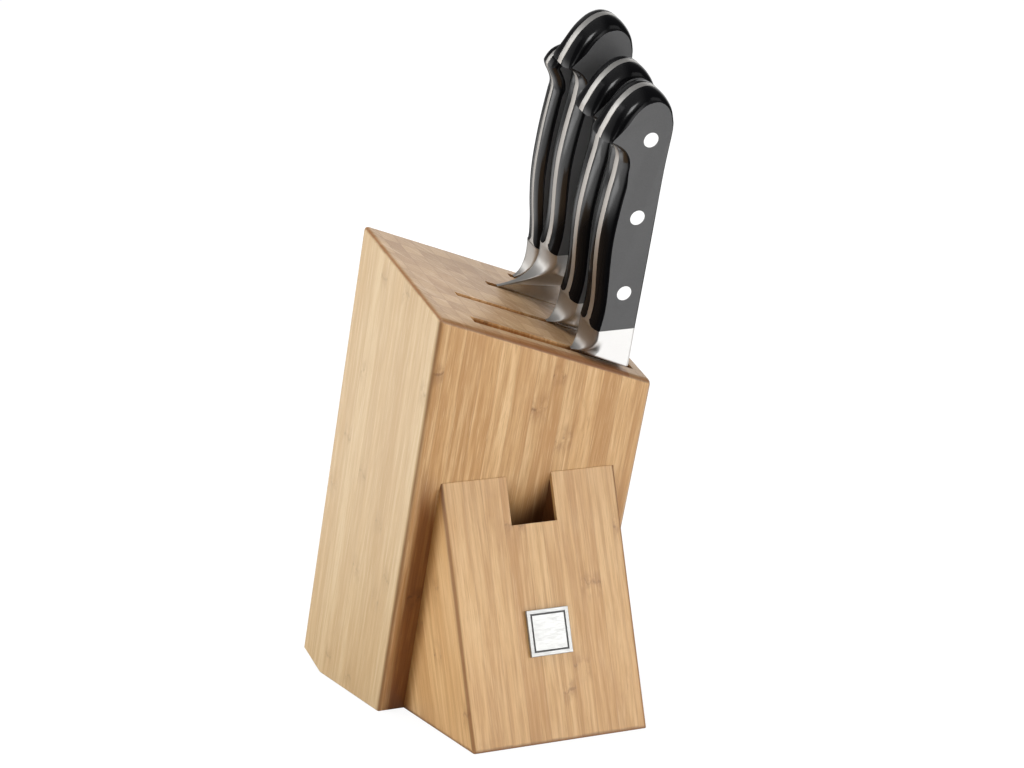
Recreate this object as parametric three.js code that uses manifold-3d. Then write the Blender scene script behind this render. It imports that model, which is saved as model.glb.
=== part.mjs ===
// Knife block with knives: a leaning laminated bamboo block on a wedge foot, holding forged knives.
// Units are millimetres, +Z is up. The origin is on the block's flat base, under its front divider.
import * as THREE from 'three';
import { mergeVertices } from 'three/addons/utils/BufferGeometryUtils.js';
import Module from 'manifold-3d';

const wasm = await Module();
wasm.setup();

// ---------------------------------------------------------------- driving dimensions
const BLOCK_W = 108.6;                   // block width, left to right
const BLOCK_T = 86;                     // block thickness, square to its front face
const LEAN = THREE.MathUtils.degToRad(20.2); // forward lean of the block
const LEFT_H = 202.4;                   // front face height at its left side, along the lean
const TOP_FALL = 0.377;                 // fall of the top face per unit of width, to the right
const BUTT_U = -23.5;                   // level of the square cut at the back of the base, along the lean
const EDGE_R = 2.6;                      // rounding of the block's outer edges
const GLUE = 0.3;                       // gap left for each glue line
const SEAT = 0.3;                       // gap left where one piece rests on another

const PANEL_T = 7.9;                    // thickness of the panel in front of the front slot
const FRONT_SLOT = 5.2;                 // width of the front slot
const BLADE_SLOT = 3.2;                 // width of each other slot
const DIVIDERS = [19.9, 21.5, 15.5];    // thickness of the boards between the slots, front to back
const SLOT_PLAY = 0.4;                  // gap each side of a blade in its slot
const SLOT_END = 6.2;                   // wood left beside each slot's right end

const FOOT_W = 84.7;                    // width of the wedge foot
const FOOT_X = 12.6;                    // its left side, from the block's left side
const FOOT_H = 120;                     // its height, along the block's front face
const FOOT_D = 74.4;                    // how far its base reaches in front of the block
const FOOT_R = 1.6;                     // rounding of its front edges
const POCKET_W = 22.2;                  // width of the shears pocket
const POCKET_D = 12.9;                  // depth of the pocket, square to the block's front face
const POCKET_FLOOR = 8;                 // thickness of the pocket's floor

const BADGE = 19.3;                     // side of the square badge
const BADGE_T = 1.1;                    // its thickness
const BADGE_UP = 47.5;                  // its centre, up the foot's front face
const BADGE_RIM = 1.6;                    // plain rim outside the border line
const BADGE_LINE = 0.8;                 // width of the border line
const BADGE_SINK = 0.3;                 // depth of the border line

const RIVET_R = 3.4;                    // rivet radius
const RIVET_FIT = 0.2;                  // radial gap round a rivet
const TIP_AT = 0.992;                   // where the point ends, as a share of the blade's length
const TIP_W = 0.4;                      // width left at the point

// One value for each knife, front to back.
const KNIFE_NAMES = ['slicing', 'utility', 'cooks', 'paring'];
const SLOT_ROOM = [49.6, 46.2, 5.4, 2.1];   // slot left free beyond the heel
const SPINE_GAP = [5.8, 2.8, 3.2, 3.2];     // gap from the spine to the slot's right end
const HANDLE_W = [20.6, 22, 22, 19.2];      // handle width, belly to spine
const HANDLE_HALF = [9, 8.5, 8.5, 6.2];     // half the handle's thickness
const TANG_T = [3.6, 3.6, 3.6, 2.2];        // tang thickness, seen as the steel strip round the handle
const GRIP_H = [90, 90, 90, 89];            // height of the pommel's lower corner
const POMMEL_H = [22.7, 22.4, 22.3, 9];     // height of the pommel above that corner
const HEEL_OUT = [5.9, 7.9, 21, 6.3];       // how far the heel tip reaches past the belly
const HEEL_DOWN = [12.1, 12, 17.5, 15.9];   // heel tip below the scales
const BLADE_L = [160, 150, 194, 100];       // blade length below the heel
const TIP_DROP = [7, 6, 8, 5];              // fall of the spine line at the tip
const EDGE_CURVE = [3.4, 2.6, 2.1, 2.4];    // how late the edge curves in to the tip
const TILT_DEG = [1, 0, 0, 0.8];            // how far the knife leans to the left in its slot
const RIM_POWER = [0.45, 0.48, 1.25, 0.8];  // how late the bolster widens above the heel tip
const SWEEP_LEVEL = [1.02, 1.02, 0.89, 0.9]; // how level its edge runs in from the heel tip
const SWEEP_IN = [1, 0.6, 3.2, 2];          // how far that edge sweeps in under the scales
const TOP_FLARE = [0.5, -0.3, -0.3, -0.3];  // how much wider the handle is at its pommel
const RIVET_SHARES = [0.201, 0.607, 1.011]; // rivet heights, as shares of the grip
const RIVET_ACROSS = 0.52;                  // rivet place across the handle
const SIDE_H = [8, 17.5];                    // height of the bolster's flat side, at the belly and the spine
const SIDE_FALL = 4;                        // height of the hollow from that side to the blade, at the spine
const HEEL_HALF = 0.9;                      // half thickness of the bolster at the heel tip
const RIM_BACK = 3;                         // width of the hollow behind the bolster's rim
const CORNER_R = 3;                         // rounding between the tang and the bolster
const NECK_IN = 1;                          // how far the hidden neck stops short of each edge
const EDGE_T = 0.35;                        // blade thickness left at the cutting edge
const BELLY_INSET = 2.9;                    // how far the flat side stops short of the belly outline
const LOW_INSET = 0.7;                      // share of that inset left at the bolster
const BELLY_POWER = 2.2;                    // how square the belly's rounding is
const HEEL_POWER = 6;                       // and the bolster's, at the heel tip
const SPINE_INSET = 1.1;                    // and of the spine
const CROWN_FADE = 0.6;                // part of the crown's rounding lost towards the spine
const LOOP_REACH = 16;                  // points ahead in which a handle outline may cross itself

// Handle outlines, as shares of the grip height: the belly from the bolster up, then the step out to the
// pommel's lower corner. The crown is in shares of the pommel's reach across and its height. The two
// round values are shares of the belly's rounding.
const FULL_OUTLINE = {
  stepRound: 0.62,
  crownRound: 1.75,
  belly: [
    [0, 0], [0.006, 0.044], [0.01, 0.1], [0.007, 0.172], [-0.003, 0.267], [-0.013, 0.378],
    [-0.017, 0.489], [-0.012, 0.6], [-0.002, 0.711], [0.008, 0.789],
  ],
  step: [
    [0.012, 0.856], [0.012, 0.889], [0.002, 0.922], [-0.018, 0.951], [-0.046, 0.973], [-0.08, 0.991],
    [-0.104, 1],
  ],
  crown: [
    [0.019, 0.111], [0.058, 0.238], [0.129, 0.46], [0.227, 0.681], [0.34, 0.851], [0.447, 0.953],
    [0.566, 1], [0.68, 0.979], [0.777, 0.911], [0.874, 0.783], [0.955, 0.609], [0.994, 0.417],
    [1, 0.213],
  ],
};
const SMALL_OUTLINE = {
  stepRound: 1.3,
  crownRound: 1.3,
  belly: [
    [0.004, 0], [0.003, 0.044], [-0.008, 0.13], [-0.027, 0.235], [-0.042, 0.355], [-0.047, 0.47],
    [-0.044, 0.6], [-0.038, 0.7], [-0.032, 0.77], [-0.027, 0.82], [-0.023, 0.86],
  ],
  step: [[-0.022, 0.885], [-0.027, 0.91], [-0.038, 0.935], [-0.053, 0.96], [-0.066, 0.982], [-0.072, 1]],
  crown: [
    [0.006, 0.09], [0.026, 0.22], [0.069, 0.42], [0.136, 0.62], [0.227, 0.77], [0.34, 0.89], [0.45, 0.97],
    [0.56, 1], [0.68, 0.97], [0.79, 0.85], [0.89, 0.64], [0.96, 0.36], [0.992, 0.08],
  ],
};
const OUTLINES = [FULL_OUTLINE, FULL_OUTLINE, FULL_OUTLINE, SMALL_OUTLINE];
const TOP_NARROW = 0.3;                     // how much narrower the handle is below the pommel
const FOOT_NARROW = 0.9;                    // and at the bolster

// ---------------------------------------------------------------- frame
const ORIGIN_BACK = PANEL_T + FRONT_SLOT + DIVIDERS[0] / 2; // the middle of the front divider
const ORIGIN = new THREE.Vector3(BLOCK_W / 2, ORIGIN_BACK / Math.cos(LEAN), 0);
// Block axes: x across, y back through the thickness, z up along the lean.
const blockToWorld = new THREE.Matrix4()
  .makeTranslation(-ORIGIN.x, -ORIGIN.y, -ORIGIN.z)
  .multiply(new THREE.Matrix4().makeRotationX(LEAN));
const footToWorld = new THREE.Matrix4().makeTranslation(-ORIGIN.x, -ORIGIN.y, -ORIGIN.z);
const topAt = (x) => LEFT_H - TOP_FALL * x; // height of the slanted top face at x

// ---------------------------------------------------------------- solid helpers
function toSolid(geometry) {
  const bare = geometry.clone();
  bare.deleteAttribute('normal');
  bare.deleteAttribute('uv');
  const merged = mergeVertices(bare, 1e-4);
  const mesh = new wasm.Mesh({
    numProp: 3,
    vertProperties: new Float32Array(merged.attributes.position.array),
    triVerts: new Uint32Array(merged.index.array),
  });
  return new wasm.Manifold(mesh);
}

function toGeometry(solid) {
  const mesh = solid.getMesh();
  const geometry = new THREE.BufferGeometry();
  geometry.setAttribute('position', new THREE.BufferAttribute(mesh.vertProperties, 3));
  geometry.setIndex(new THREE.BufferAttribute(mesh.triVerts, 1));
  geometry.computeVertexNormals();
  return geometry;
}

// A closed body through rings of points with equal counts; flat maps a ring point to 2D for the caps.
function loft(rings, flat) {
  const count = rings[0].length;
  const positions = rings.flat(2);
  const index = [];
  for (let r = 0; r + 1 < rings.length; r += 1) {
    for (let i = 0; i < count; i += 1) {
      const j = (i + 1) % count;
      const a = r * count + i;
      const b = r * count + j;
      index.push(a, b, b + count, a, b + count, a + count);
    }
  }
  // Both caps share the first ring's triangles, turned the same way as the ring.
  const outline = rings[0].map((p) => new THREE.Vector2(...flat(p)));
  const faces = THREE.ShapeUtils.triangulateShape(outline, []);
  const area = faces.reduce((sum, face) => sum + THREE.ShapeUtils.area(face.map((i) => outline[i])), 0);
  const same = Math.sign(area) === Math.sign(THREE.ShapeUtils.area(outline));
  const last = (rings.length - 1) * count;
  faces.forEach((face) => {
    const [a, b, c] = same ? face : [face[0], face[2], face[1]];
    index.push(a, c, b, last + a, last + b, last + c);
  });
  const geometry = new THREE.BufferGeometry();
  geometry.setAttribute('position', new THREE.BufferAttribute(new Float32Array(positions), 3));
  geometry.setIndex(index);
  if (signedVolume(geometry) < 0) {
    const array = geometry.index.array;
    for (let i = 0; i < array.length; i += 3) [array[i + 1], array[i + 2]] = [array[i + 2], array[i + 1]];
  }
  return geometry;
}

function signedVolume(geometry) {
  const p = geometry.attributes.position;
  const at = (i) => new THREE.Vector3().fromBufferAttribute(p, i);
  let sum = 0;
  for (let i = 0; i < geometry.index.count; i += 3) {
    const [a, b, c] = [0, 1, 2].map((k) => at(geometry.index.getX(i + k)));
    sum += a.dot(b.cross(c)) / 6;
  }
  return sum;
}

function boxSolid([x0, x1], [y0, y1], [z0, z1], matrix) {
  const box = new THREE.BoxGeometry(x1 - x0, y1 - y0, z1 - z0);
  box.translate((x0 + x1) / 2, (y0 + y1) / 2, (z0 + z1) / 2);
  if (matrix) box.applyMatrix4(matrix);
  return toSolid(box);
}

// A rounded rectangle as [x, y] points; steps is the number of facets in each corner.
function roundedRect(x0, x1, y0, y1, radius, steps) {
  const centres = [[x1 - radius, y1 - radius, 0], [x0 + radius, y1 - radius, 1],
    [x0 + radius, y0 + radius, 2], [x1 - radius, y0 + radius, 3]];
  const points = [];
  centres.forEach(([cx, cy, quarter]) => {
    for (let k = 0; k <= steps; k += 1) {
      const angle = (quarter + k / steps) * Math.PI / 2;
      points.push([cx + radius * Math.cos(angle), cy + radius * Math.sin(angle)]);
    }
  });
  return points;
}

const group = new THREE.Group();
group.name = 'knife_block_with_knives';

function addPart(name, solid, material) {
  const geometry = toGeometry(solid);
  const mesh = new THREE.Mesh(geometry, new THREE.MeshStandardMaterial({ ...material, name: `${name}_finish` }));
  mesh.name = name;
  group.add(mesh);
}

const BAMBOO = { color: 0xc89f68, roughness: 0.55, metalness: 0 };
const BLACK = { color: 0x2c2c2e, roughness: 0.4, metalness: 0 };
const STEEL = { color: 0xc4c2be, roughness: 0.28, metalness: 1 };
const BRIGHT = { color: 0xe2e1de, roughness: 0.2, metalness: 1 };

// ---------------------------------------------------------------- leaning block
const FAR = 400; // longer than any piece, for cutting tools

function blockEnvelope() {
  const steps = 3;
  const rings = [];
  rings.push(roundedRect(0, BLOCK_W, 0, BLOCK_T, EDGE_R, steps).map(([x, y]) => [x, y, BUTT_U * 2]));
  for (let k = 0; k <= steps; k += 1) {
    const angle = (k / steps) * Math.PI / 2;
    const inset = EDGE_R * (1 - Math.cos(angle)) * 0.98;
    const below = EDGE_R * (1 - Math.sin(angle));
    rings.push(roundedRect(inset, BLOCK_W - inset, inset, BLOCK_T - inset, EDGE_R - inset, steps)
      .map(([x, y]) => [x, y, topAt(x) - below]));
  }
  const body = loft(rings, ([x, y]) => [x, y]);
  body.applyMatrix4(blockToWorld);
  const floor = boxSolid([-FAR, FAR], [-FAR, FAR], [0, FAR]);
  const butt = boxSolid([-FAR, FAR], [-FAR, FAR], [BUTT_U, FAR], blockToWorld);
  return toSolid(body).intersect(floor).intersect(butt);
}

const envelope = blockEnvelope();
const slotRight = BLOCK_W - SLOT_END;

// A board of the block, given across its width and through its thickness.
function board(name, [x0, x1], [y0, y1], [z0, z1] = [-FAR, FAR]) {
  addPart(name, envelope.intersect(boxSolid([x0, x1], [y0, y1], [z0, z1], blockToWorld)), BAMBOO);
}

const slotWidths = [FRONT_SLOT, BLADE_SLOT, BLADE_SLOT, BLADE_SLOT];
const slotFront = (i) => PANEL_T + [...slotWidths.slice(0, i), ...DIVIDERS.slice(0, i)]
  .reduce((sum, size) => sum + size, 0);

// Each knife's place: foot is the lower belly corner of its scales, in block axes.
const knives = KNIFE_NAMES.map((name, i) => {
  const footX = slotRight - SPINE_GAP[i] - HANDLE_W[i];
  const heelAt = footX - HEEL_OUT[i];
  return {
    name,
    // The heel tip rests on the slanted top face beside its slot.
    foot: [footX, topAt(heelAt) + SEAT + HEEL_DOWN[i]],
    slotLeft: heelAt - SLOT_ROOM[i],
    plane: slotFront(i) + slotWidths[i] / 2,
    heelX: -HEEL_OUT[i],
    heelU: -HEEL_DOWN[i],
    bladeT: BLADE_SLOT - 2 * SLOT_PLAY,
    spine: HANDLE_W[i],
    half: HANDLE_HALF[i],
    grip: GRIP_H[i],
    pommel: POMMEL_H[i],
    back: HANDLE_W[i] - FOOT_NARROW,
    tangHalf: TANG_T[i] / 2,
    outline: OUTLINES[i],
    rimPower: RIM_POWER[i],
    sweepLevel: SWEEP_LEVEL[i],
    sweepIn: SWEEP_IN[i],
    flare: TOP_FLARE[i],
    blade: BLADE_L[i],
    drop: TIP_DROP[i],
    edgePower: EDGE_CURVE[i],
    tilt: THREE.MathUtils.degToRad(TILT_DEG[i]),
  };
});

// Height of a knife's tip along the lean.
function tipHeight({ foot, heelU, blade, tilt, back, drop }) {
  const tipX = back - drop * TIP_AT ** 3 - TIP_W;
  return foot[1] + (heelU - blade * TIP_AT) * Math.cos(tilt) + tipX * Math.sin(tilt);
}
const slotNames = ['front_slot', 'second_slot', 'third_slot', 'rear_slot'];
const boardNames = ['front_divider', 'middle_divider', 'rear_divider'];
board('front_panel', [-1, BLOCK_W + 1], [-1, PANEL_T]);
slotWidths.forEach((width, i) => {
  const front = slotFront(i);
  const behind = front + width;
  const layer = [front + GLUE, behind - GLUE];
  board(`${slotNames[i]}_left_strip`, [-1, knives[i].slotLeft], layer);
  board(`${slotNames[i]}_right_strip`, [slotRight, BLOCK_W + 1], layer);
  if (i === 0) {
    // The front slot is closed below, and its knife stands on its tip.
    board('front_slot_floor', [knives[i].slotLeft + GLUE, slotRight - GLUE], layer,
      [-FAR, tipHeight(knives[i]) - SEAT]);
  }
  if (i < boardNames.length) {
    board(boardNames[i], [-1, BLOCK_W + 1], [behind, behind + DIVIDERS[i]]);
  } else {
    board('back_panel', [-1, BLOCK_W + 1], [behind, BLOCK_T + 1]);
  }
});

// ---------------------------------------------------------------- wedge foot
// Side profile: [y, z] from the block's lower front corner, which is at 0, 0.
const apex = [-FOOT_H * Math.sin(LEAN), FOOT_H * Math.cos(LEAN)];
const toe = [-FOOT_D, 0];
const faceLength = Math.hypot(apex[0] - toe[0], apex[1] - toe[1]);
const faceDir = [(apex[0] - toe[0]) / faceLength, (apex[1] - toe[1]) / faceLength];
const faceTilt = Math.atan2(faceDir[0], faceDir[1]); // how far the foot's front face leans back

// The front face's frame: x across, y up the face, z straight out of it.
const faceBasis = new THREE.Matrix4().makeBasis(
  new THREE.Vector3(1, 0, 0),
  new THREE.Vector3(0, faceDir[0], faceDir[1]),
  new THREE.Vector3(0, -faceDir[1], faceDir[0]),
);
const faceToWorld = footToWorld.clone()
  .multiply(new THREE.Matrix4().makeTranslation(0, toe[0], toe[1]))
  .multiply(faceBasis);

function footEnvelope() {
  const steps = 3;
  const x1 = FOOT_X + FOOT_W;
  const rings = [];
  rings.push(roundedRect(FOOT_X, x1, -FAR, faceLength, FOOT_R, steps).map(([x, y]) => [x, y, -FOOT_D]));
  for (let k = 0; k <= steps; k += 1) {
    const angle = (k / steps) * Math.PI / 2;
    const inset = FOOT_R * (1 - Math.cos(angle)) * 0.98;
    const below = FOOT_R * (1 - Math.sin(angle));
    rings.push(roundedRect(FOOT_X + inset, x1 - inset, -FAR + inset, faceLength - inset, FOOT_R - inset, steps)
      .map(([x, y]) => [x, y, -below]));
  }
  const body = loft(rings, ([x, y]) => [x, y]);
  body.applyMatrix4(faceToWorld);
  const floor = boxSolid([-FAR, FAR], [-FAR, FAR], [0, FAR]);
  const behind = boxSolid([-FAR, FAR], [-FAR, -GLUE], [-FAR, FAR], blockToWorld);
  return toSolid(body).intersect(floor).intersect(behind);
}

const foot = footEnvelope();
const pocketLeft = FOOT_X + (FOOT_W - POCKET_W) / 2;
const pocketRight = pocketLeft + POCKET_W;
const slice = (x0, x1, y0, y1) => boxSolid([x0, x1], [y0, y1], [-FAR, FAR], blockToWorld);
addPart('foot_left_cheek', foot.intersect(slice(-1, pocketLeft, -FAR, FAR)), BAMBOO);
addPart('foot_right_cheek', foot.intersect(slice(pocketRight, BLOCK_W + 1, -FAR, FAR)), BAMBOO);
addPart('foot_centre', foot.intersect(slice(pocketLeft + GLUE, pocketRight - GLUE, -FAR, -POCKET_D)), BAMBOO);
const pocketFloor = boxSolid([-FAR, FAR], [-FAR, FAR], [0, POCKET_FLOOR]);
addPart('foot_pocket_floor', foot.intersect(pocketFloor)
  .intersect(slice(pocketLeft + GLUE, pocketRight - GLUE, -POCKET_D + GLUE, FAR)), BAMBOO);

// ---------------------------------------------------------------- badge
function squarePlate(side, z0, z1) {
  const x = FOOT_X + FOOT_W / 2;
  return boxSolid([x - side / 2, x + side / 2], [BADGE_UP - side / 2, BADGE_UP + side / 2], [z0, z1],
    faceToWorld);
}
const badgeLow = SEAT;
const badgeTop = badgeLow + BADGE_T;
const lineOuter = BADGE - 2 * BADGE_RIM;
const borderLine = squarePlate(lineOuter, badgeTop - BADGE_SINK, badgeTop + 1)
  .subtract(squarePlate(lineOuter - 2 * BADGE_LINE, badgeTop - 2 * BADGE_SINK, badgeTop + 2));
addPart('badge_plate', squarePlate(BADGE, badgeLow, badgeTop).subtract(borderLine), BRIGHT);

// ---------------------------------------------------------------- knives
// Handle outline from the lower belly corner of the scales: x towards the spine, u up.
function handleOutline({ grip, pommel, spine, back, flare, outline: { belly, step, crown } }) {
  const grown = [...belly, ...step].map(([x, u]) => [x * grip, u * grip]);
  const [cornerX, cornerU] = grown.at(-1);
  const right = spine - TOP_NARROW;
  const top = crown.map(([x, u]) => [cornerX + x * (spine + flare - cornerX), cornerU + u * pommel]);
  return [...grown, ...top, [right, grip * 0.85], [right - TOP_NARROW / 2, grip * 0.6],
    [right - TOP_NARROW, grip * 0.35], [back, 0]];
}

// Inward direction at each outline point; the two bottom corners only move sideways.
function inward(outline) {
  const count = outline.length;
  return outline.map((p, i) => {
    if (i === 0) return [1, 0];
    if (i === count - 1) return [-1, 0];
    const a = outline[i - 1];
    const b = outline[i + 1];
    const length = Math.hypot(b[0] - a[0], b[1] - a[1]);
    return [(b[1] - a[1]) / length, -(b[0] - a[0]) / length];
  });
}

// 1 along the spine side of the grip, 0 on the belly and round the pommel.
const spineSide = (u, x, { spine, grip, pommel }) => THREE.MathUtils.smoothstep(x / spine, 0.55, 0.98)
  * (1 - THREE.MathUtils.smoothstep(u, grip, grip + pommel * 0.6));

// How far the belly has come in at a share of the way out from the tang to the flat side.
const bellyIn = (share, power = BELLY_POWER) => 1 - Math.sqrt(1 - Math.min(1, share * 0.999) ** power);
const insetAt = (u, grip) => BELLY_INSET
  * (LOW_INSET + (1 - LOW_INSET) * THREE.MathUtils.smoothstep(u, 0, grip * 0.35));

// Share of the rounding that a point of the outline takes: the pommel is rounder than the belly.
function roundShare(i, x, u, { spine, grip, pommel, outline: { belly, step, stepRound, crownRound } }) {
  if (i < belly.length) return 1;
  if (i < belly.length + step.length) return stepRound;
  const grown = THREE.MathUtils.smoothstep(u, grip, grip + pommel * 0.5);
  const faded = 1 - CROWN_FADE * THREE.MathUtils.smoothstep(x, spine * 0.35, spine);
  return (stepRound + (crownRound - stepRound) * grown) * faded;
}

// Where two stretches of an outline cross each other, if they do.
function crossing([ax, ay], [bx, by], [cx, cy], [dx, dy]) {
  const turn = (bx - ax) * (dy - cy) - (by - ay) * (dx - cx);
  const first = ((cx - ax) * (dy - cy) - (cy - ay) * (dx - cx)) / turn;
  const second = ((cx - ax) * (by - ay) - (cy - ay) * (bx - ax)) / turn;
  const meet = first > 0 && first < 1 && second > 0 && second < 1;
  return meet ? [ax + first * (bx - ax), ay + first * (by - ay)] : null;
}

// Draws in the small loop that an outline makes where it is inset past the pommel's sharp corner.
function untangled(outline) {
  const out = outline.slice();
  for (let i = 0; i + 1 < out.length; i += 1) {
    for (let j = i + 2; j < Math.min(i + LOOP_REACH, out.length - 1); j += 1) {
      const meet = crossing(out[i], out[i + 1], out[j], out[j + 1]);
      if (meet) out.fill(meet, i + 1, j + 1);
    }
  }
  return out;
}

// One ring of the handle at a distance from its middle plane, cut off below at a level.
function handleRing(knife, outline, normals, away, lift) {
  const t = THREE.MathUtils.clamp((away - knife.tangHalf) / (knife.half - knife.tangHalf), 0, 1);
  const spineT = THREE.MathUtils.clamp((t - 0.72) / 0.28, 0, 1);
  const spineInset = SPINE_INSET * (1 - Math.sqrt(1 - (spineT * 0.999) ** 2));
  const inset = outline.map(([x, u], i) => {
    const side = spineSide(u, x, knife);
    const bellyInset = insetAt(u, knife.grip) * bellyIn(t);
    const depth = bellyInset * (1 - side) * roundShare(i, x, u, knife) + spineInset * side;
    return [x + normals[i][0] * depth, u + normals[i][1] * depth];
  });
  return untangled(inset).map(([x, u]) => [x, away, Math.max(lift, u)]);
}

// Level of the rounded corner between tang and bolster, for a corner of the given radius.
function cornerLevel(knife, away, radius) {
  const reach = Math.max(0, knife.tangHalf + CORNER_R - away);
  return CORNER_R - Math.sqrt(Math.max(0, radius ** 2 - reach ** 2));
}

const flatXU = ([x, , u]) => [x, u];

function scaleSolid(knife, sign) {
  const outline = handleOutline(knife);
  const normals = inward(outline);
  const inner = knife.tangHalf + GLUE;
  const cornerEnd = knife.tangHalf + CORNER_R;
  const inCorner = [0, 0.13, 0.35, 0.65, 1].map((f) => inner + f * (cornerEnd - inner));
  const beyond = [0.35, 0.62, 0.84, 1].map((f) => cornerEnd + f * (knife.half - cornerEnd));
  const rings = [...inCorner, ...beyond].map((away) => handleRing(knife, outline, normals, away,
    cornerLevel(knife, away, CORNER_R - GLUE))
    .map(([x, y, u]) => [x, sign * y, u]));
  return toSolid(loft(rings, flatXU));
}

// Belly edge of the bolster from the heel tip up to the scales, as [x, u].
const bolsterEdge = ({ heelX, heelU, sweepLevel, sweepIn }) => new THREE.CubicBezierCurve(
  new THREE.Vector2(heelX, heelU),
  new THREE.Vector2(heelX * 0.25, heelU * sweepLevel),
  new THREE.Vector2(sweepIn, heelU * 0.56),
  new THREE.Vector2(0, 0),
);

// Half the blade's thickness across its width at the heel: a wedge from the edge, then flat.
const WEDGE = 0.55;
function heelHalf({ heelX, back, bladeT }, x) {
  const share = THREE.MathUtils.clamp((x - heelX) / ((back - heelX) * WEDGE), 0, 1);
  return EDGE_T / 2 + (bladeT / 2 - EDGE_T / 2) * share;
}

// The bolster is swept in rows that fan out from its belly edge to the spine.
function bolsterSolid(knife) {
  const rows = 14;
  const round = 5;
  const columns = 7;
  const curve = bolsterEdge(knife);
  const rings = [];
  for (let r = 0; r <= rows; r += 1) {
    const edge = curve.getPoint(r / rows);
    const fallen = (-edge.y - SIDE_H[0]) / (-knife.heelU - SIDE_H[0]); // 0 at the side's foot, 1 at the heel
    const low = Math.max(0, fallen);
    const level = Math.min(1, edge.y / knife.heelU);
    const grown = knife.half * Math.min(1, 1.05 * (1 - level ** 2) ** knife.rimPower);
    const rim = Math.max(grown, Math.hypot(HEEL_HALF, grown * 0.9));
    const spineU = fallen > 0 ? -SIDE_H[1] - SIDE_FALL * fallen : edge.y * (SIDE_H[1] / SIDE_H[0]);
    const along = new THREE.Vector2(knife.back - edge.x, spineU - edge.y);
    const span = along.length();
    along.divideScalar(span);
    const depth = insetAt(edge.y, knife.grip) * (rim / knife.half);
    const side = [];
    for (let k = 0; k <= round; k += 1) {
      const share = Math.sin((k / round) * Math.PI / 2);
      const away = knife.tangHalf * (rim / knife.half) * (1 - share) + rim * share;
      const inset = depth * bellyIn(share, BELLY_POWER + (HEEL_POWER - BELLY_POWER) * level);
      side.push([edge.x + along.x * inset, k === 0 ? 0 : away, edge.y + along.y * inset]);
    }
    for (let c = 1; c <= columns; c += 1) {
      const f = (c / columns) ** 1.6;
      const from = depth + f * (span - depth);
      const x = edge.x + along.x * from;
      const thin = heelHalf(knife, x) - 0.05 * low;
      const flat = thin + (knife.half - thin) * (1 - low) ** 2;
      const rise = 1 - THREE.MathUtils.smoothstep(from - depth, 0, RIM_BACK);
      const spineRound = c === columns ? 0.88 : 1;
      side.push([x, (flat + (rim - flat) * rise) * spineRound, edge.y + along.y * from]);
    }
    rings.push([...side, ...side.slice(1).reverse().map(([x, y, u]) => [x, -y, u])]);
  }
  return toSolid(loft(rings, ([x, y]) => [x, y]));
}

function bladeSolid(knife) {
  const stations = 22;
  const top = knife.heelU;
  const width = knife.back - knife.heelX;
  const rings = [];
  for (let k = 0; k <= stations; k += 1) {
    const f = (k / stations) ** 0.85;
    const r = f * TIP_AT;
    const spineX = knife.back - knife.drop * r ** 3;
    const edgeX = spineX - Math.max(width * (1 - r ** knife.edgePower) ** 0.72, TIP_W);
    const u = top - knife.blade * r;
    const half = (knife.bladeT / 2) * (1 - 0.5 * r);
    const thin = Math.min(EDGE_T / 2, half);
    const shoulder = edgeX + (spineX - edgeX) * WEDGE;
    rings.push([[edgeX, -thin, u], [shoulder, -half, u], [spineX, -half, u],
      [spineX, half, u], [shoulder, half, u], [edgeX, thin, u]]);
  }
  return toSolid(loft(rings, ([x, y]) => [x, y]));
}

function tangSolid(knife) {
  const outline = handleOutline(knife);
  const low = [[knife.back - NECK_IN, -SIDE_H[0] / 2], [NECK_IN, -SIDE_H[0] / 2]];
  const closed = [...outline, ...low];
  const rings = [-1, 1].map((sign) => closed.map(([x, u]) => [x, sign * knife.tangHalf, u]));
  return toSolid(loft(rings, flatXU));
}

// The steel that fills the rounded corners between tang and bolster.
function cornerSolid(knife) {
  const belly = handleOutline(knife);
  const steps = 6;
  const outer = [];
  for (let k = 0; k <= steps; k += 1) {
    const angle = (k / steps) * Math.PI / 2;
    outer.push(knife.tangHalf + CORNER_R * (1 - Math.cos(angle)));
  }
  const levels = [...outer.slice().reverse().map((y) => -y), ...outer];
  const rings = levels.map((y) => {
    const away = Math.abs(y);
    const top = cornerLevel(knife, away, CORNER_R);
    const share = (away - knife.tangHalf) / (knife.half - knife.tangHalf);
    const bellyX = (u) => THREE.MathUtils.lerp(belly[0][0], belly[1][0], u / belly[1][1])
      + insetAt(u, knife.grip) * bellyIn(share);
    return [[bellyX(0), y, -SEAT], [knife.back, y, -SEAT], [knife.back, y, top], [bellyX(top), y, top]];
  });
  return toSolid(loft(rings, flatXU));
}

function rivetSolid(knife, up, radius, halfLength) {
  const facets = 28;
  const x = knife.spine * RIVET_ACROSS;
  const ring = Array.from({ length: facets }, (_, i) => {
    const angle = (i / facets) * Math.PI * 2;
    return [x + radius * Math.cos(angle), up + radius * Math.sin(angle)];
  });
  return toSolid(loft([-halfLength, halfLength].map((y) => ring.map(([px, u]) => [px, y, u])), flatXU));
}

function placeKnife(knife) {
  return blockToWorld.clone()
    .multiply(new THREE.Matrix4().makeTranslation(knife.foot[0], knife.plane, knife.foot[1]))
    .multiply(new THREE.Matrix4().makeRotationY(-knife.tilt));
}

const moved = (solid, matrix) => solid.transform(matrix.elements);

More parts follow.
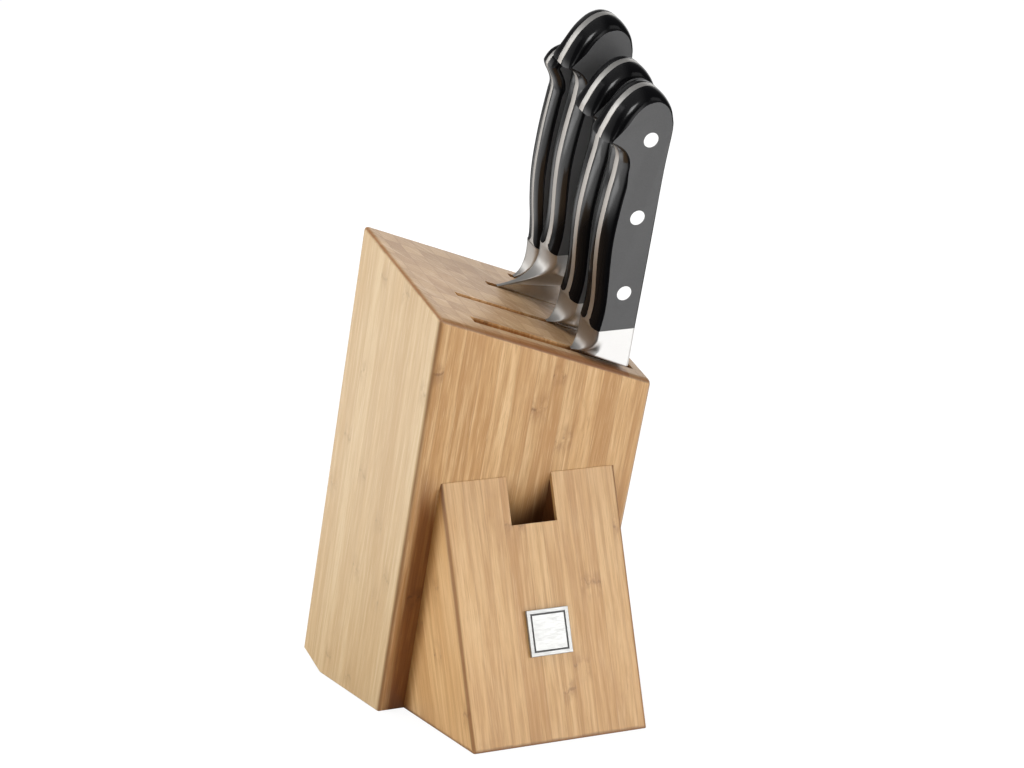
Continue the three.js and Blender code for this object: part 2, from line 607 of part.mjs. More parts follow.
knives.forEach((knife) => {
  const place = placeKnife(knife);
  const rivets = RIVET_SHARES.map((share) => share * knife.grip);
  const holes = rivets.map((up) => rivetSolid(knife, up, RIVET_R + RIVET_FIT, knife.half + 2));
  let forged = [bolsterSolid, tangSolid, cornerSolid]
    .reduce((body, make) => body.add(make(knife)), bladeSolid(knife));
  holes.forEach((hole) => { forged = forged.subtract(hole); });
  addPart(`${knife.name}_knife_blade`, moved(forged, place), STEEL);
  [['near', -1], ['far', 1]].forEach(([side, sign]) => {
    let scale = scaleSolid(knife, sign);
    holes.forEach((hole) => { scale = scale.subtract(hole); });
    addPart(`${knife.name}_knife_${side}_scale`, moved(scale, place), BLACK);
  });
  rivets.forEach((up, k) => {
    const rivet = rivetSolid(knife, up, RIVET_R, knife.half);
    addPart(`${knife.name}_knife_${['lower', 'middle', 'upper'][k]}_rivet`, moved(rivet, place), BRIGHT);
  });
});

export default group;
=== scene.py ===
# Knife block with knives: bamboo block and foot, forged knives, badge, studio.
import bmesh
import bpy
from math import atan2, cos, hypot, pi, radians, sin, sqrt, tan
from mathutils import Matrix, Vector


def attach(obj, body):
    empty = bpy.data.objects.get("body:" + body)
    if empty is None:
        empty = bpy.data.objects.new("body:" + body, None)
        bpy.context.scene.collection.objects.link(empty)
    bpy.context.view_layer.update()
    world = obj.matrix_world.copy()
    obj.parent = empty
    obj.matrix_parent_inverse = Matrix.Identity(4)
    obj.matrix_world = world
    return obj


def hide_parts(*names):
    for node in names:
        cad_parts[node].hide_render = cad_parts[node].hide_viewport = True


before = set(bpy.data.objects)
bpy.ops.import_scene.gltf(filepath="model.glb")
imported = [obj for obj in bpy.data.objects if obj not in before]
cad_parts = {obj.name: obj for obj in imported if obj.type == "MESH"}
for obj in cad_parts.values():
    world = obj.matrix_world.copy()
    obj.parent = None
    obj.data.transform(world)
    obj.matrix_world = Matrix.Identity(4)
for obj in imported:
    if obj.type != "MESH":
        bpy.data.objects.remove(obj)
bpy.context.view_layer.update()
MM = 0.001

# ------------------------------------------------------------------ sizes, in millimetres
BLOCK_W = 108.6
BLOCK_T = 86
LEAN = radians(20.2)
LEFT_H = 202.4          # height of the left side, along the lean
TOP_FALL = 0.377        # fall of the top face for each millimetre across
BUTT_U = -23.5          # the cut across the bottom
EDGE_R = 2.6
PANEL_T = 7.9
SLOT_WIDTHS = (5.2, 3.2, 3.2, 3.2)
DIVIDERS = (19.9, 21.5, 15.5)
SLOT_RIGHT = BLOCK_W - 6.2
LIP_END = 96.5          # where the painted shade along the front of the top ends
SEAT = 0.3

FOOT_W = 84.7
FOOT_X = 12.6
FOOT_H = 120
FOOT_D = 74.4
FOOT_R = 1.6
FOOT_RIGHT = FOOT_X + FOOT_W
FOOT_SLOPE = atan2(FOOT_D - FOOT_H * sin(LEAN), FOOT_H * cos(LEAN))
FOOT_FRONT = -FOOT_D * cos(FOOT_SLOPE)
POCKET_W = 22.2
POCKET_D = 12.9
POCKET_LEFT = FOOT_X + (FOOT_W - POCKET_W) / 2
POCKET_RIGHT = POCKET_LEFT + POCKET_W

BADGE = 20.2
BADGE_T = 1.5
BADGE_UP = 47.95
BADGE_RIM = 1.65
BADGE_LINE = 0.8
BADGE_SINK = 0.3
BADGE_SOFT = 0.15
BADGE_OUTER = BADGE / 2 - BADGE_RIM
BADGE_INNER = BADGE_OUTER - BADGE_LINE

RIVET_R = 3.4
RIVET_PROUD = 0.02
RIVET_PLACES = ("lower", "middle", "upper")
SIDE_H = (8, 17.5)      # height of a bolster's side, at its belly and at its spine
SIDE_FALL = 4
HEEL_HALF = 0.9
RIM_BACK = 3            # reach over which the belly's rim comes down to the side
CORNER_R = 3            # rounding between tang and bolster
BLADE_HALF = 1.2
EDGE_T = 0.35
WEDGE = 0.55            # share of the blade's width that is ground to the edge
TIP_AT = 0.992
TIP_W = 0.4
BELLY_INSET = 2.9       # how far a scale's belly comes in, from the tang to its flat side
LOW_INSET = 0.7
BELLY_POWER = 2.2
HEEL_POWER = 6
SPINE_INSET = 1.1
CROWN_FADE = 0.6
TOP_NARROW = 0.3
FOOT_NARROW = 0.9
NECK_IN = 1
SCALE_FIT = 0.03        # clearance of a scale from the steel
GLOSS_SLANT = 0.173     # the scales are dull below a slanted level, and glossy above another: a painted reflection mask
DULL_BELOW = 204.0
GLOSSY_ABOVE = 224.0

# Handle outlines, as shares of the grip height: the belly from the bolster up, then the step out to the
# pommel's lower corner. The crown is in shares of the pommel's reach across and its height. The two
# round values are shares of the belly's rounding.
FULL_OUTLINE = dict(
    step_round=0.62, crown_round=1.75,
    belly=((0, 0), (.006, .044), (.010, .100), (.007, .172), (-.003, .267), (-.013, .378), (-.017, .489),
           (-.012, .600), (-.002, .711), (.008, .789)),
    step=((.012, .856), (.012, .889), (.002, .922), (-.018, .951), (-.046, .973), (-.080, .991),
          (-.104, 1)),
    crown=((.019, .111), (.058, .238), (.129, .460), (.227, .681), (.340, .851), (.447, .953),
           (.566, 1), (.680, .979), (.777, .911), (.874, .783), (.955, .609), (.994, .417), (1, .213)))
SMALL_OUTLINE = dict(
    step_round=1.3, crown_round=1.3,
    belly=((.004, 0), (.003, .044), (-.008, .130), (-.027, .235), (-.042, .355), (-.047, .470),
           (-.044, .600), (-.038, .700), (-.032, .770), (-.027, .820), (-.023, .860)),
    step=((-.022, .885), (-.027, .910), (-.038, .935), (-.053, .960), (-.066, .982), (-.072, 1)),
    crown=((.006, .090), (.026, .220), (.069, .420), (.136, .620), (.227, .770), (.340, .890),
           (.450, .970), (.560, 1), (.680, .970), (.790, .850), (.890, .640), (.960, .360), (.992, .080)))

# One entry for each knife, front to back. x is about 0 at the belly of its handle and about spine at its
# spine. half is half the handle's thickness, out and down place the heel tip, and pommel is the crown's
# height on the grip. room and gap are what the slot leaves beyond the heel and behind the spine. drop and
# curve shape the blade, rim, level and sweep the bolster's front, and flare the crown. tilt is in degrees.
# The larger hollow is, the lower the bolster's sides keep their thickness.
KNIVES = (
    dict(name="slicing", room=49.6, gap=5.8, spine=20.6, half=9.0, tang=3.6, grip=90,
         pommel=22.7, out=5.9, down=12.1, blade=160, drop=7, curve=3.4, tilt=1.0, rim=0.45, level=1.02,
         sweep=1.0, flare=0.5, hollow=8, outline=FULL_OUTLINE),
    dict(name="utility", room=46.2, gap=2.8, spine=22.0, half=8.5, tang=3.6, grip=90,
         pommel=22.4, out=7.9, down=12.0, blade=150, drop=6, curve=2.6, tilt=0.0, rim=0.48, level=1.02,
         sweep=0.6, flare=-0.3, hollow=4, outline=FULL_OUTLINE),
    dict(name="cooks", room=5.4, gap=3.2, spine=22.0, half=8.5, tang=3.6, grip=90,
         pommel=22.3, out=21.0, down=17.5, blade=194, drop=8, curve=2.1, tilt=0.0, rim=1.25, level=0.89,
         sweep=3.2, flare=-0.3, hollow=1, outline=FULL_OUTLINE),
    dict(name="paring", room=2.1, gap=3.2, spine=19.2, half=6.2, tang=2.2, grip=89,
         pommel=9.0, out=6.3, down=15.9, blade=100, drop=5, curve=2.4, tilt=0.8, rim=0.80, level=0.9,
         sweep=2.0, flare=-0.3, hollow=1, outline=SMALL_OUTLINE),
)

ORIGIN = Vector((BLOCK_W / 2, (PANEL_T + SLOT_WIDTHS[0] + DIVIDERS[0] / 2) / cos(LEAN), 0))
BLOCK_FRAME = Matrix.Translation(-ORIGIN) @ Matrix.Rotation(LEAN, 4, "X")
FOOT_FRAME = Matrix.Translation(-ORIGIN)


def top_at(x):
    """Height of the slanted top face at x, along the lean."""
    return LEFT_H - TOP_FALL * x


def smoothstep(x, low, high):
    t = min(max((x - low) / (high - low), 0.0), 1.0)
    return t * t * (3 - 2 * t)


# ------------------------------------------------------------------ node helpers
class Finish:
    """One material and short ways to add nodes to it."""

    def __init__(self, name):
        self.material = bpy.data.materials.new(name)
        self.material.use_nodes = True
        self.tree = self.material.node_tree
        self.tree.nodes.clear()
        self.output = self.tree.nodes.new("ShaderNodeOutputMaterial")

    def put(self, socket, value):
        if isinstance(value, bpy.types.NodeSocket):
            self.tree.links.new(value, socket)
        else:
            socket.default_value = value

    def node(self, kind, inputs=(), **settings):
        node = self.tree.nodes.new(kind)
        for key, value in settings.items():
            setattr(node, key, value)
        for key, value in dict(inputs).items():
            self.put(node.inputs[key], value)
        return node

    def math(self, operation, *values):
        node = self.node("ShaderNodeMath", operation=operation)
        for socket, value in zip(node.inputs, values):
            self.put(socket, value)
        return node.outputs[0]

    def times(self, a, b):
        return self.math("MULTIPLY", a, b)

    def dot(self, a, b):
        node = self.node("ShaderNodeVectorMath", {0: a, 1: b}, operation="DOT_PRODUCT")
        return node.outputs["Value"]

    def place(self):
        return self.node("ShaderNodeTexCoord").outputs["Object"]

    def normal(self):
        return self.node("ShaderNodeNewGeometry").outputs["Normal"]

    def ramp(self, value, low, high, start=0.0, end=1.0, smooth=True):
        node = self.node("ShaderNodeMapRange", {
            "Value": value, "From Min": low, "From Max": high, "To Min": start, "To Max": end,
        }, interpolation_type="SMOOTHSTEP" if smooth else "LINEAR")
        return node.outputs[0]

    def mix(self, share, a, b, blend="MIX"):
        node = self.node("ShaderNodeMix", data_type="RGBA", blend_type=blend)
        self.put(node.inputs["Factor"], share)
        self.put(node.inputs["A"], a)
        self.put(node.inputs["B"], b)
        return node.outputs["Result"]

    def layers(self, colour, *coats):
        """The colour under coats, each one given as its share and its own colour."""
        for share, coat in coats:
            colour = self.mix(share, colour, coat)
        return colour

    def noise(self, place, detail=2.0, rough=0.5):
        node = self.node("ShaderNodeTexNoise", {
            "Vector": place, "Scale": 1.0, "Detail": detail, "Roughness": rough,
        })
        return node.outputs["Fac"]

    def stretch(self, place, scale):
        return self.node("ShaderNodeMapping", {"Vector": place, "Scale": scale}).outputs[0]

    def join(self, x, y, z):
        return self.node("ShaderNodeCombineXYZ", {"X": x, "Y": y, "Z": z}).outputs[0]

    def parts(self, vector):
        return self.node("ShaderNodeSeparateXYZ", {"Vector": vector}).outputs

    def bump(self, height, strength, distance):
        node = self.node("ShaderNodeBump", {"Height": height, "Strength": strength, "Distance": distance})
        return node.outputs[0]

    def glow(self, strength):
        return self.node("ShaderNodeEmission", {"Color": (1, 1, 1, 1), "Strength": strength}).outputs[0]

    def shade(self, **inputs):
        node = self.node("ShaderNodeBsdfPrincipled")
        for key, value in inputs.items():
            self.put(node.inputs[key.replace("_", " ")], value)
        self.tree.links.new(node.outputs[0], self.output.inputs[0])
        return self.material


def grey(value):
    return (value, value, value, 1)


def shaded(colour, share):
    return tuple(c * share for c in colour[:3]) + (1,)


# ------------------------------------------------------------------ bamboo
STRIP_PALE = (0.80, 0.535, 0.27, 1)
STRIP_MID = (0.62, 0.355, 0.145, 1)
STRIP_WARM = (0.46, 0.225, 0.070, 1)
STRIP_EVEN = (0.64, 0.385, 0.17, 1)
GRAIN_LIGHT = (0.84, 0.585, 0.31, 1)
GRAIN_PALE = (0.90, 0.66, 0.38, 1)
GRAIN_DARK = (0.40, 0.195, 0.062, 1)
GRAIN_HAIR = (0.34, 0.155, 0.045, 1)
GRAIN_CLOUD = (0.52, 0.265, 0.095, 1)
NODE_SMUDGE = (0.33, 0.155, 0.05, 1)
NODE_LINE = (0.20, 0.085, 0.03, 1)
GLUE_LINE = (0.36, 0.18, 0.07, 1)
DARK_EDGE = (0.25, 0.105, 0.030, 1)
CUT_DARK = (0.35, 0.215, 0.108, 1)
CUT_PALE = (0.455, 0.295, 0.158, 1)
CUT_PORE = (0.20, 0.10, 0.045, 1)
CUT_SAWN = (0.60, 0.44, 0.29, 1)
CUT_CLOUD = (0.29, 0.155, 0.07, 1)
CUT_GLUE = (0.22, 0.11, 0.045, 1)
STRIP_WIDE = 8.6
STRIP_DEEP = 7.4
NODE_GAP = 200


def bamboo(name, turn, edges, tints, painted_shades, seed=0.0):
    """Laminated bamboo. Fibres run along the local z of a frame turned about x.

    edges holds the left, right, front and back of the piece in that frame, then its top height and
    fall, or None for a piece whose edge is on the floor. They place the darkened rounded edges.
    The function after tints gives the painted shade and painted shadow: each darkened part's share and
    colour.
    """
    f = Finish(name)
    spot = f.place()
    local = f.node("ShaderNodeMapping", {
        "Vector": spot, "Rotation": (-turn, 0, 0),
        "Location": Matrix.Rotation(-turn, 3, "X") @ (ORIGIN * MM),
    }).outputs[0]
    x, s, u = (f.times(part, 1000) for part in f.parts(local))

    # Strips: one long cell for each, with its own tone.
    def cell(value, width, wander, key):
        slow = f.node("ShaderNodeTexNoise", {
            "W": f.times(value, 0.021), "Scale": 1.0, "Detail": 1.0,
        }, noise_dimensions="1D").outputs["Fac"]
        return f.math("ADD", f.math("DIVIDE", value, width), f.math("MULTIPLY_ADD", slow, wander, key))

    across = cell(x, STRIP_WIDE, 1.6, 0.37 + seed)
    deep = cell(s, STRIP_DEEP, 1.2, 0.11 + seed)
    strip = f.join(f.math("FLOOR", across), f.math("FLOOR", deep), seed)
    chance = f.node("ShaderNodeTexWhiteNoise", {"Vector": strip}, noise_dimensions="3D")
    tone = chance.outputs["Value"]
    odd = f.node("ShaderNodeSeparateColor", {"Color": chance.outputs["Color"]}).outputs

    # Fibres: noise drawn out along the cane, slightly wavy, different in each strip.
    shift = f.times(tone, 900)

    def figure(wide, depth, fine, long, detail, rough=0.5):
        along = f.math("MULTIPLY_ADD", u, long, shift)
        return f.noise(f.join(f.times(wide, fine), f.times(depth, fine), along), detail, rough)

    wave = figure(x, s, 0.02, 0.012, 1.0)
    bent = [f.math("MULTIPLY_ADD", wave, 2.4, way) for way in (x, s)]
    fine = figure(*bent, 1.9, 0.06, 3.0, 0.55)
    broad = figure(*bent, 0.42, 0.018, 2.0, 0.55)
    hair = figure(*bent, 6.5, 0.11, 1.0, 0.55)
    cloud = figure(x, s, 0.03, 0.016, 3.0, 0.6)
    colour = f.layers(
        f.mix(f.ramp(tone, 0.05, 0.95, smooth=False), STRIP_MID, STRIP_PALE),
        (f.ramp(odd[1], 0.45, 1.0, 0.0, 0.60), STRIP_WARM),
        (f.ramp(broad, 0.44, 0.66, 0.0, 0.54), STRIP_WARM),
        (f.ramp(broad, 0.50, 0.32, 0.0, 0.50), GRAIN_LIGHT),
        (f.ramp(fine, 0.50, 0.74, 0.0, 0.46), GRAIN_DARK),
        (f.ramp(hair, 0.54, 0.74, 0.0, 0.42), GRAIN_HAIR),
        (f.ramp(fine, 0.46, 0.26, 0.0, 0.40), GRAIN_PALE),
        (f.ramp(cloud, 0.50, 0.74, 0.0, 0.34), GRAIN_CLOUD))

    # Nodes of the cane: a dark wavy line in a brown smudge, at its own height in each strip.
    ripple = figure(x, s, 0.35, 0.0, 2.0)
    ring = f.math("MULTIPLY_ADD", ripple, 9.0, f.math("MULTIPLY_ADD", odd[0], NODE_GAP, u))
    ring = f.math("MODULO", f.math("ADD", ring, 10 * NODE_GAP), NODE_GAP)
    ring = f.math("ABSOLUTE", f.math("SUBTRACT", ring, NODE_GAP / 2))
    patchy = figure(x, s, 0.22, 0.14, 4.0, 0.6)
    smudge = f.times(f.ramp(ring, 10.0, 0.0), f.ramp(patchy, 0.34, 0.62))
    line = f.times(f.ramp(ring, 1.0, 0.2), f.ramp(patchy, 0.42, 0.55))

    def seam(value):
        rest = f.math("FRACT", value)
        return f.math("MINIMUM", rest, f.math("SUBTRACT", 1.0, rest))

    joint = f.math("MINIMUM", seam(across), seam(deep))
    colour = f.layers(
        colour, (f.times(smudge, 0.62), NODE_SMUDGE), (f.times(line, 0.55), NODE_LINE),
        (f.ramp(joint, 0.035, 0.0, 0.0, 0.34), GLUE_LINE))

    # End grain: darker, with pores and saw marks.
    end = f.ramp(f.math("ABSOLUTE", f.dot(f.normal(), (0, -sin(turn), cos(turn)))), 0.34, 0.52)
    pores = f.node("ShaderNodeTexVoronoi", {
        "Vector": f.join(x, s, 0.0), "Scale": 1.7, "Randomness": 0.9,
    }).outputs["Distance"]
    saw = f.noise(f.join(f.math("MULTIPLY_ADD", s, 0.62, f.times(x, 0.62)),
                         f.times(f.math("SUBTRACT", x, s), 0.025), seed))
    cut = f.layers(
        f.mix(tone, CUT_DARK, CUT_PALE),
        (f.ramp(pores, 0.34, 0.12, 0.0, 0.30), CUT_PORE),
        (f.ramp(saw, 0.50, 0.66, 0.0, 0.50), CUT_SAWN),
        (f.ramp(cloud, 0.46, 0.68, 0.0, 0.60), CUT_CLOUD),
        (f.ramp(joint, 0.045, 0.0, 0.0, 0.45), CUT_GLUE))
    colour = f.mix(end, colour, cut)

    # Darkened edges: near is the distance from the second nearest side.
    left, right, front, back, top = edges
    dx = f.math("MINIMUM", f.math("SUBTRACT", x, left), f.math("SUBTRACT", right, x))
    ds = f.math("MINIMUM", f.math("SUBTRACT", s, front), f.math("SUBTRACT", back, s))
    if top:
        high, fall = top
        du = f.times(f.math("SUBTRACT", f.math("MULTIPLY_ADD", x, -fall, high), u),
                     1 / sqrt(1 + fall * fall))
    else:
        du = f.times(f.parts(spot)[2], 1000)
    near = f.math("MAXIMUM", f.math("MINIMUM", dx, ds), f.math("MINIMUM", f.math("MAXIMUM", dx, ds), du))
    near = f.math("MULTIPLY_ADD", cloud, 1.6, near)
    whole, side, even, calm = tints
    flank = f.ramp(f.parts(f.normal())[0], -0.6, -0.95)
    colour = f.layers(
        colour, (f.ramp(flank, 0.0, 1.0, even, calm, smooth=False), STRIP_EVEN),
        (f.ramp(near, 2.8, 1.4, 0.0, 0.84), DARK_EDGE))
    # On the block the left side's tint is a painted sheen, paler on faces turned to the left.
    colour = f.mix(1.0, colour, f.mix(flank, whole, side), "MULTIPLY")
    # Painted shade and painted shadow, multiplied in where the piece's function puts them.
    for share, shade in painted_shades(f, (x, s, u)):
        colour = f.mix(share, colour, f.mix(1.0, colour, shade, "MULTIPLY"))
    relief = f.math("ADD", f.times(fine, 0.6), f.times(hair, 0.4))
    return f.shade(Base_Color=colour, Roughness=f.ramp(fine, 0.3, 0.75, 0.36, 0.52), IOR=1.5,
                   Coat_Weight=0.10, Coat_Roughness=0.22, Normal=f.bump(relief, 0.30, 0.00012))


# ------------------------------------------------------------------ mesh helpers
SHARP = radians(35)     # edges that turn by more than this stay sharp
SCALE_SHARP = radians(50)
STEEL_SHARP = radians(30)


def add_object(name, data, materials=()):
    obj = bpy.data.objects.new(name, data)
    bpy.context.scene.collection.objects.link(obj)
    for material in materials:
        data.materials.append(material)
    return obj


def mesh_from(bm, name):
    mesh = bpy.data.meshes.new(name)
    bm.to_mesh(mesh)
    bm.free()
    return mesh


def set_in(bm, place):
    """Moves a body in millimetres to its place, in metres."""
    bmesh.ops.transform(bm, matrix=Matrix.Scale(MM, 4) @ place, verts=bm.verts)


def baked(obj):
    """Applies obj's modifiers: its mesh becomes the evaluated one, and no modifier is left."""
    graph = bpy.context.evaluated_depsgraph_get()
    mesh = bpy.data.meshes.new_from_object(obj.evaluated_get(graph))
    obj.modifiers.clear()
    old = obj.data
    obj.data = mesh
    bpy.data.meshes.remove(old)
    return obj


def finish_piece(obj, body, slot, *nodes):
    obj.data.name = obj.name
    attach(obj, body)
    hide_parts(*nodes)


# ------------------------------------------------------------------ leaning block and foot
TOP_FROM = 100          # corners above this height belong to the top
NEAR = 0.1              # an edge this close to a plane lies on it
WELD = 1e-7             # in metres
BLOCK_SEGMENTS = 6
FOOT_SEGMENTS = 5
BUTT_ROUND = 0.28       # shares of the full rounding
FOOT_TOP_ROUND = 0.35
FOOT_BACK_ROUND = 0.2
FOOT_LOW_ROUND = 0.5
# The whole piece's tint and its left side's, then how even the piece is and how even that side is.
# On the block the left side's tint is a painted sheen.
BLOCK_TINTS_AND_SHEEN = ((1, 1, 1, 1), (0.98, 1.15, 1.40, 1), 0.0, 0.55)
FOOT_TINTS = ((1, 0.965, 0.88, 1), (1.04, 1.03, 0.97, 1), 0.25, 0.35)
# Colours that painted shade and painted shadow multiply in, on the block and then on the foot.
BLOCK_POCKET_SHADE = (0.16, 0.07, 0.02, 1)
BLOCK_BESIDE_SHADOW = (0.36, 0.22, 0.10, 1)
BLOCK_LIP_SHADE = (0.74, 0.52, 0.34, 1)
BLOCK_SLOT_SHADE = (0.66, 0.50, 0.36, 1)
FOOT_POCKET_SHADE = (0.16, 0.065, 0.016, 1)
FOOT_CLOSE_SHADOW = (0.48, 0.34, 0.18, 1)


def prism(corners, x0, x1, fall=0):
    """A prism across x over a side outline. Its top corners come down with x."""
    bm = bmesh.new()
    rings = []
    for x in (x0, x1):
        rings.append([bm.verts.new((x, y, z - (fall * x if z > TOP_FROM else 0))) for y, z in corners])
    count = len(corners)
    for i in range(count):
        j = (i + 1) % count
        bm.faces.new((rings[0][i], rings[0][j], rings[1][j], rings[1][i]))
    bm.faces.new(list(reversed(rings[0])))
    bm.faces.new(rings[1])
    bmesh.ops.recalc_face_normals(bm, faces=bm.faces)
    return bm


def bevelled(bm, pick, radius, segments, name):
    """Rounds each edge by its share of the radius, given by pick."""
    layer = bm.edges.layers.float.new("bevel_weight_edge")
    for edge in bm.edges:
        edge[layer] = pick(edge)
    obj = add_object(name, mesh_from(bm, name))
    rounding = obj.modifiers.new("rounding", "BEVEL")
    rounding.limit_method = "WEIGHT"
    rounding.width = radius * MM
    rounding.segments = segments
    rounding.profile = 0.5
    rounding.use_clamp_overlap = False
    return baked(obj)


def trim(bm, axis, level, keep_above):
    """Cuts the body on a plane across an axis of the block's frame, and closes the cut."""
    sign = 1 if keep_above else -1
    normal = BLOCK_FRAME.to_3x3() @ Vector([sign if i == axis else 0 for i in range(3)])
    point = BLOCK_FRAME @ Vector([level if i == axis else 0 for i in range(3)])
    cut = bmesh.ops.bisect_plane(bm, geom=bm.verts[:] + bm.edges[:] + bm.faces[:], dist=WELD,
                                 plane_co=point * MM, plane_no=normal.normalized(), clear_inner=True)
    edges = [e for e in cut["geom_cut"] if isinstance(e, bmesh.types.BMEdge)]
    if edges:
        bmesh.ops.edgenet_fill(bm, edges=edges, mat_nr=0)


def cut_board(name, whole, wood, node, **spans):
    """A copy of the whole body, cut to spans along x, y and z of the block's frame."""
    bm = bmesh.new()
    bm.from_mesh(whole.data)
    for way, (low, high) in spans.items():
        axis = "xyz".index(way)
        if low is not None:
            trim(bm, axis, low, True)
        if high is not None:
            trim(bm, axis, high, False)
    bmesh.ops.remove_doubles(bm, verts=bm.verts, dist=WELD)
    bmesh.ops.recalc_face_normals(bm, faces=bm.faces)
    for face in bm.faces:
        face.smooth = True
    mesh = mesh_from(bm, name)
    obj = add_object(name, mesh, [wood])
    mesh.set_sharp_from_angle(angle=SHARP)
    flat = obj.modifiers.new("flat_faces", "WEIGHTED_NORMAL")
    flat.keep_sharp = True
    baked(obj)
    finish_piece(obj, "block", "bamboo", node)


def block_whole():
    """The block before its boards are parted: rounded along its sides and top."""
    corners = [(0, 0), (0, LEFT_H), (BLOCK_T, LEFT_H), (BLOCK_T, -BLOCK_T * tan(LEAN))]
    bm = prism(corners, 0, BLOCK_W, TOP_FALL)
    set_in(bm, BLOCK_FRAME)
    trim(bm, 2, BUTT_U, True)
    back = BLOCK_FRAME.inverted()

    def pick(edge):
        ends = [back @ (v.co / MM) for v in edge.verts]
        low = all(v.co.z < NEAR * MM or p.z < BUTT_U + NEAR for v, p in zip(edge.verts, ends))
        return BUTT_ROUND if low else 1.0

    return bevelled(bm, pick, EDGE_R, BLOCK_SEGMENTS, "block_whole")


def foot_whole():
    """The wedge foot before its pieces are parted."""
    apex = (-FOOT_H * sin(LEAN), FOOT_H * cos(LEAN))
    bm = prism([(0, 0), (-FOOT_D, 0), apex], FOOT_X, FOOT_RIGHT)
    set_in(bm, FOOT_FRAME)
    back = FOOT_FRAME.inverted()

    def pick(edge):
        ends = [back @ (v.co / MM) for v in edge.verts]
        if all(p.z > TOP_FROM for p in ends):
            return FOOT_TOP_ROUND
        if all(abs(p.y * cos(LEAN) + p.z * sin(LEAN)) < NEAR for p in ends):
            return FOOT_BACK_ROUND
        return FOOT_LOW_ROUND if all(p.z < NEAR for p in ends) else 1.0

    return bevelled(bm, pick, FOOT_R, FOOT_SEGMENTS, "foot_whole")


def slot_front(i):
    return PANEL_T + sum(SLOT_WIDTHS[:i]) + sum(DIVIDERS[:i])


def block_painted_shade(f, local):
    """Painted shade on the block, in the pocket, along the top's front and in the slots; painted shadow
    beside the foot.
    """
    x, s, u = local
    face = f.ramp(s, 1.2, 0.7)
    # Painted shade in the shears pocket, deeper lower down and towards the right cheek.
    middle = (POCKET_LEFT + POCKET_RIGHT) / 2
    sunk = f.math("MULTIPLY_ADD", f.math("SUBTRACT", x, middle), 1.1, f.math("SUBTRACT", FOOT_H, u))
    pocket_shade = f.times(f.ramp(x, POCKET_LEFT - 0.6, POCKET_LEFT - 0.2),
                   f.ramp(x, POCKET_RIGHT + 0.6, POCKET_RIGHT + 0.2))
    pocket_shade = f.times(f.times(pocket_shade, face), f.ramp(sunk, 6.0, 34.0, 0.0, 0.94))
    # Painted shadow of the foot on the block's front, left of the foot and low down.
    low = f.ramp(f.math("MULTIPLY_ADD", x, 1.4, u), FOOT_H + 22, FOOT_H - 8)
    beside = f.times(f.ramp(x, 0.8, 6.5), f.ramp(x, FOOT_X + 1, FOOT_X + 0.6))
    beside = f.times(f.times(beside, face), low)
    drop = f.math("SUBTRACT", f.math("MULTIPLY_ADD", x, -TOP_FALL, LEFT_H), u)
    # Painted shade along the front of the top, stronger towards the knives on the right.
    length = f.times(f.ramp(x, 4.0, 50.0, 0.15, 0.85), f.ramp(x, LIP_END + 0.3, LIP_END - 0.3))
    lip_shade = f.times(f.times(f.ramp(s, 4.8, 4.2), f.ramp(drop, 1.9, 1.2)), length)
    # Painted shade on the slot walls, below the top.
    slot_shade = f.times(f.ramp(s, 5.0, 6.0), f.ramp(s, BLOCK_T - 1, BLOCK_T - 2))
    slot_shade = f.times(slot_shade, f.times(f.ramp(x, 1.2, 2.0), f.ramp(drop, 0.5, 1.2)))
    return (pocket_shade, BLOCK_POCKET_SHADE), (beside, BLOCK_BESIDE_SHADOW), (lip_shade, BLOCK_LIP_SHADE), (slot_shade, BLOCK_SLOT_SHADE)


def foot_painted_shade(f, local):
    """Painted shade inside the foot's pocket, and painted shadow on its sides close to the block."""
    x, s, _ = local
    # Painted shade inside the pocket.
    pocket_shade = f.times(f.ramp(x, POCKET_LEFT - 0.5, POCKET_LEFT - 0.1),
                   f.ramp(x, POCKET_RIGHT + 0.5, POCKET_RIGHT + 0.1))
    pocket_shade = f.times(pocket_shade, f.ramp(s, FOOT_FRONT + 2.0, FOOT_FRONT + 2.8, 0.0, 0.94))
    # Painted shadow of the block on the foot's sides, fading away from the block.
    off = f.times(f.dot(f.place(), (0, -cos(LEAN), -sin(LEAN))), 1000)
    off = f.math("SUBTRACT", off, ORIGIN.y * cos(LEAN))
    outer = f.math("MAXIMUM", f.ramp(x, FOOT_X + 1, FOOT_X + 0.5),
                   f.ramp(x, FOOT_RIGHT - 1, FOOT_RIGHT - 0.5))
    close_shadow = f.times(f.ramp(off, 11.0, 0.0, 0.0, 0.85), outer)
    return (pocket_shade, FOOT_POCKET_SHADE), (close_shadow, FOOT_CLOSE_SHADOW)


def make_block():
    edges = (0, BLOCK_W, 0, BLOCK_T, (LEFT_H, TOP_FALL))
    wood = bamboo("bamboo_block", LEAN, edges, BLOCK_TINTS_AND_SHEEN, block_painted_shade)
    whole = block_whole()

    def board(node, **spans):
        cut_board(node + "_board", whole, wood, node, **spans)

    names = ("front_slot", "second_slot", "third_slot", "rear_slot")
    boards = ("front_divider", "middle_divider", "rear_divider", "back_panel")
    board("front_panel", y=(None, PANEL_T))
    for i, knife in enumerate(KNIVES):
        front = slot_front(i)
        behind = front + SLOT_WIDTHS[i]
        left = SLOT_RIGHT - knife["gap"] - knife["spine"] - knife["out"] - knife["room"]
        board(names[i] + "_left_strip", x=(None, left), y=(front, behind))
        board(names[i] + "_right_strip", x=(SLOT_RIGHT, None), y=(front, behind))
        if i == 0:
            board("front_slot_floor", x=(left, SLOT_RIGHT), y=(front, behind),
                  z=(None, tip_height(knife) - SEAT))
        last = i == len(KNIVES) - 1
        board(boards[i], y=(behind, None if last else behind + DIVIDERS[i]))
    bpy.data.objects.remove(whole)


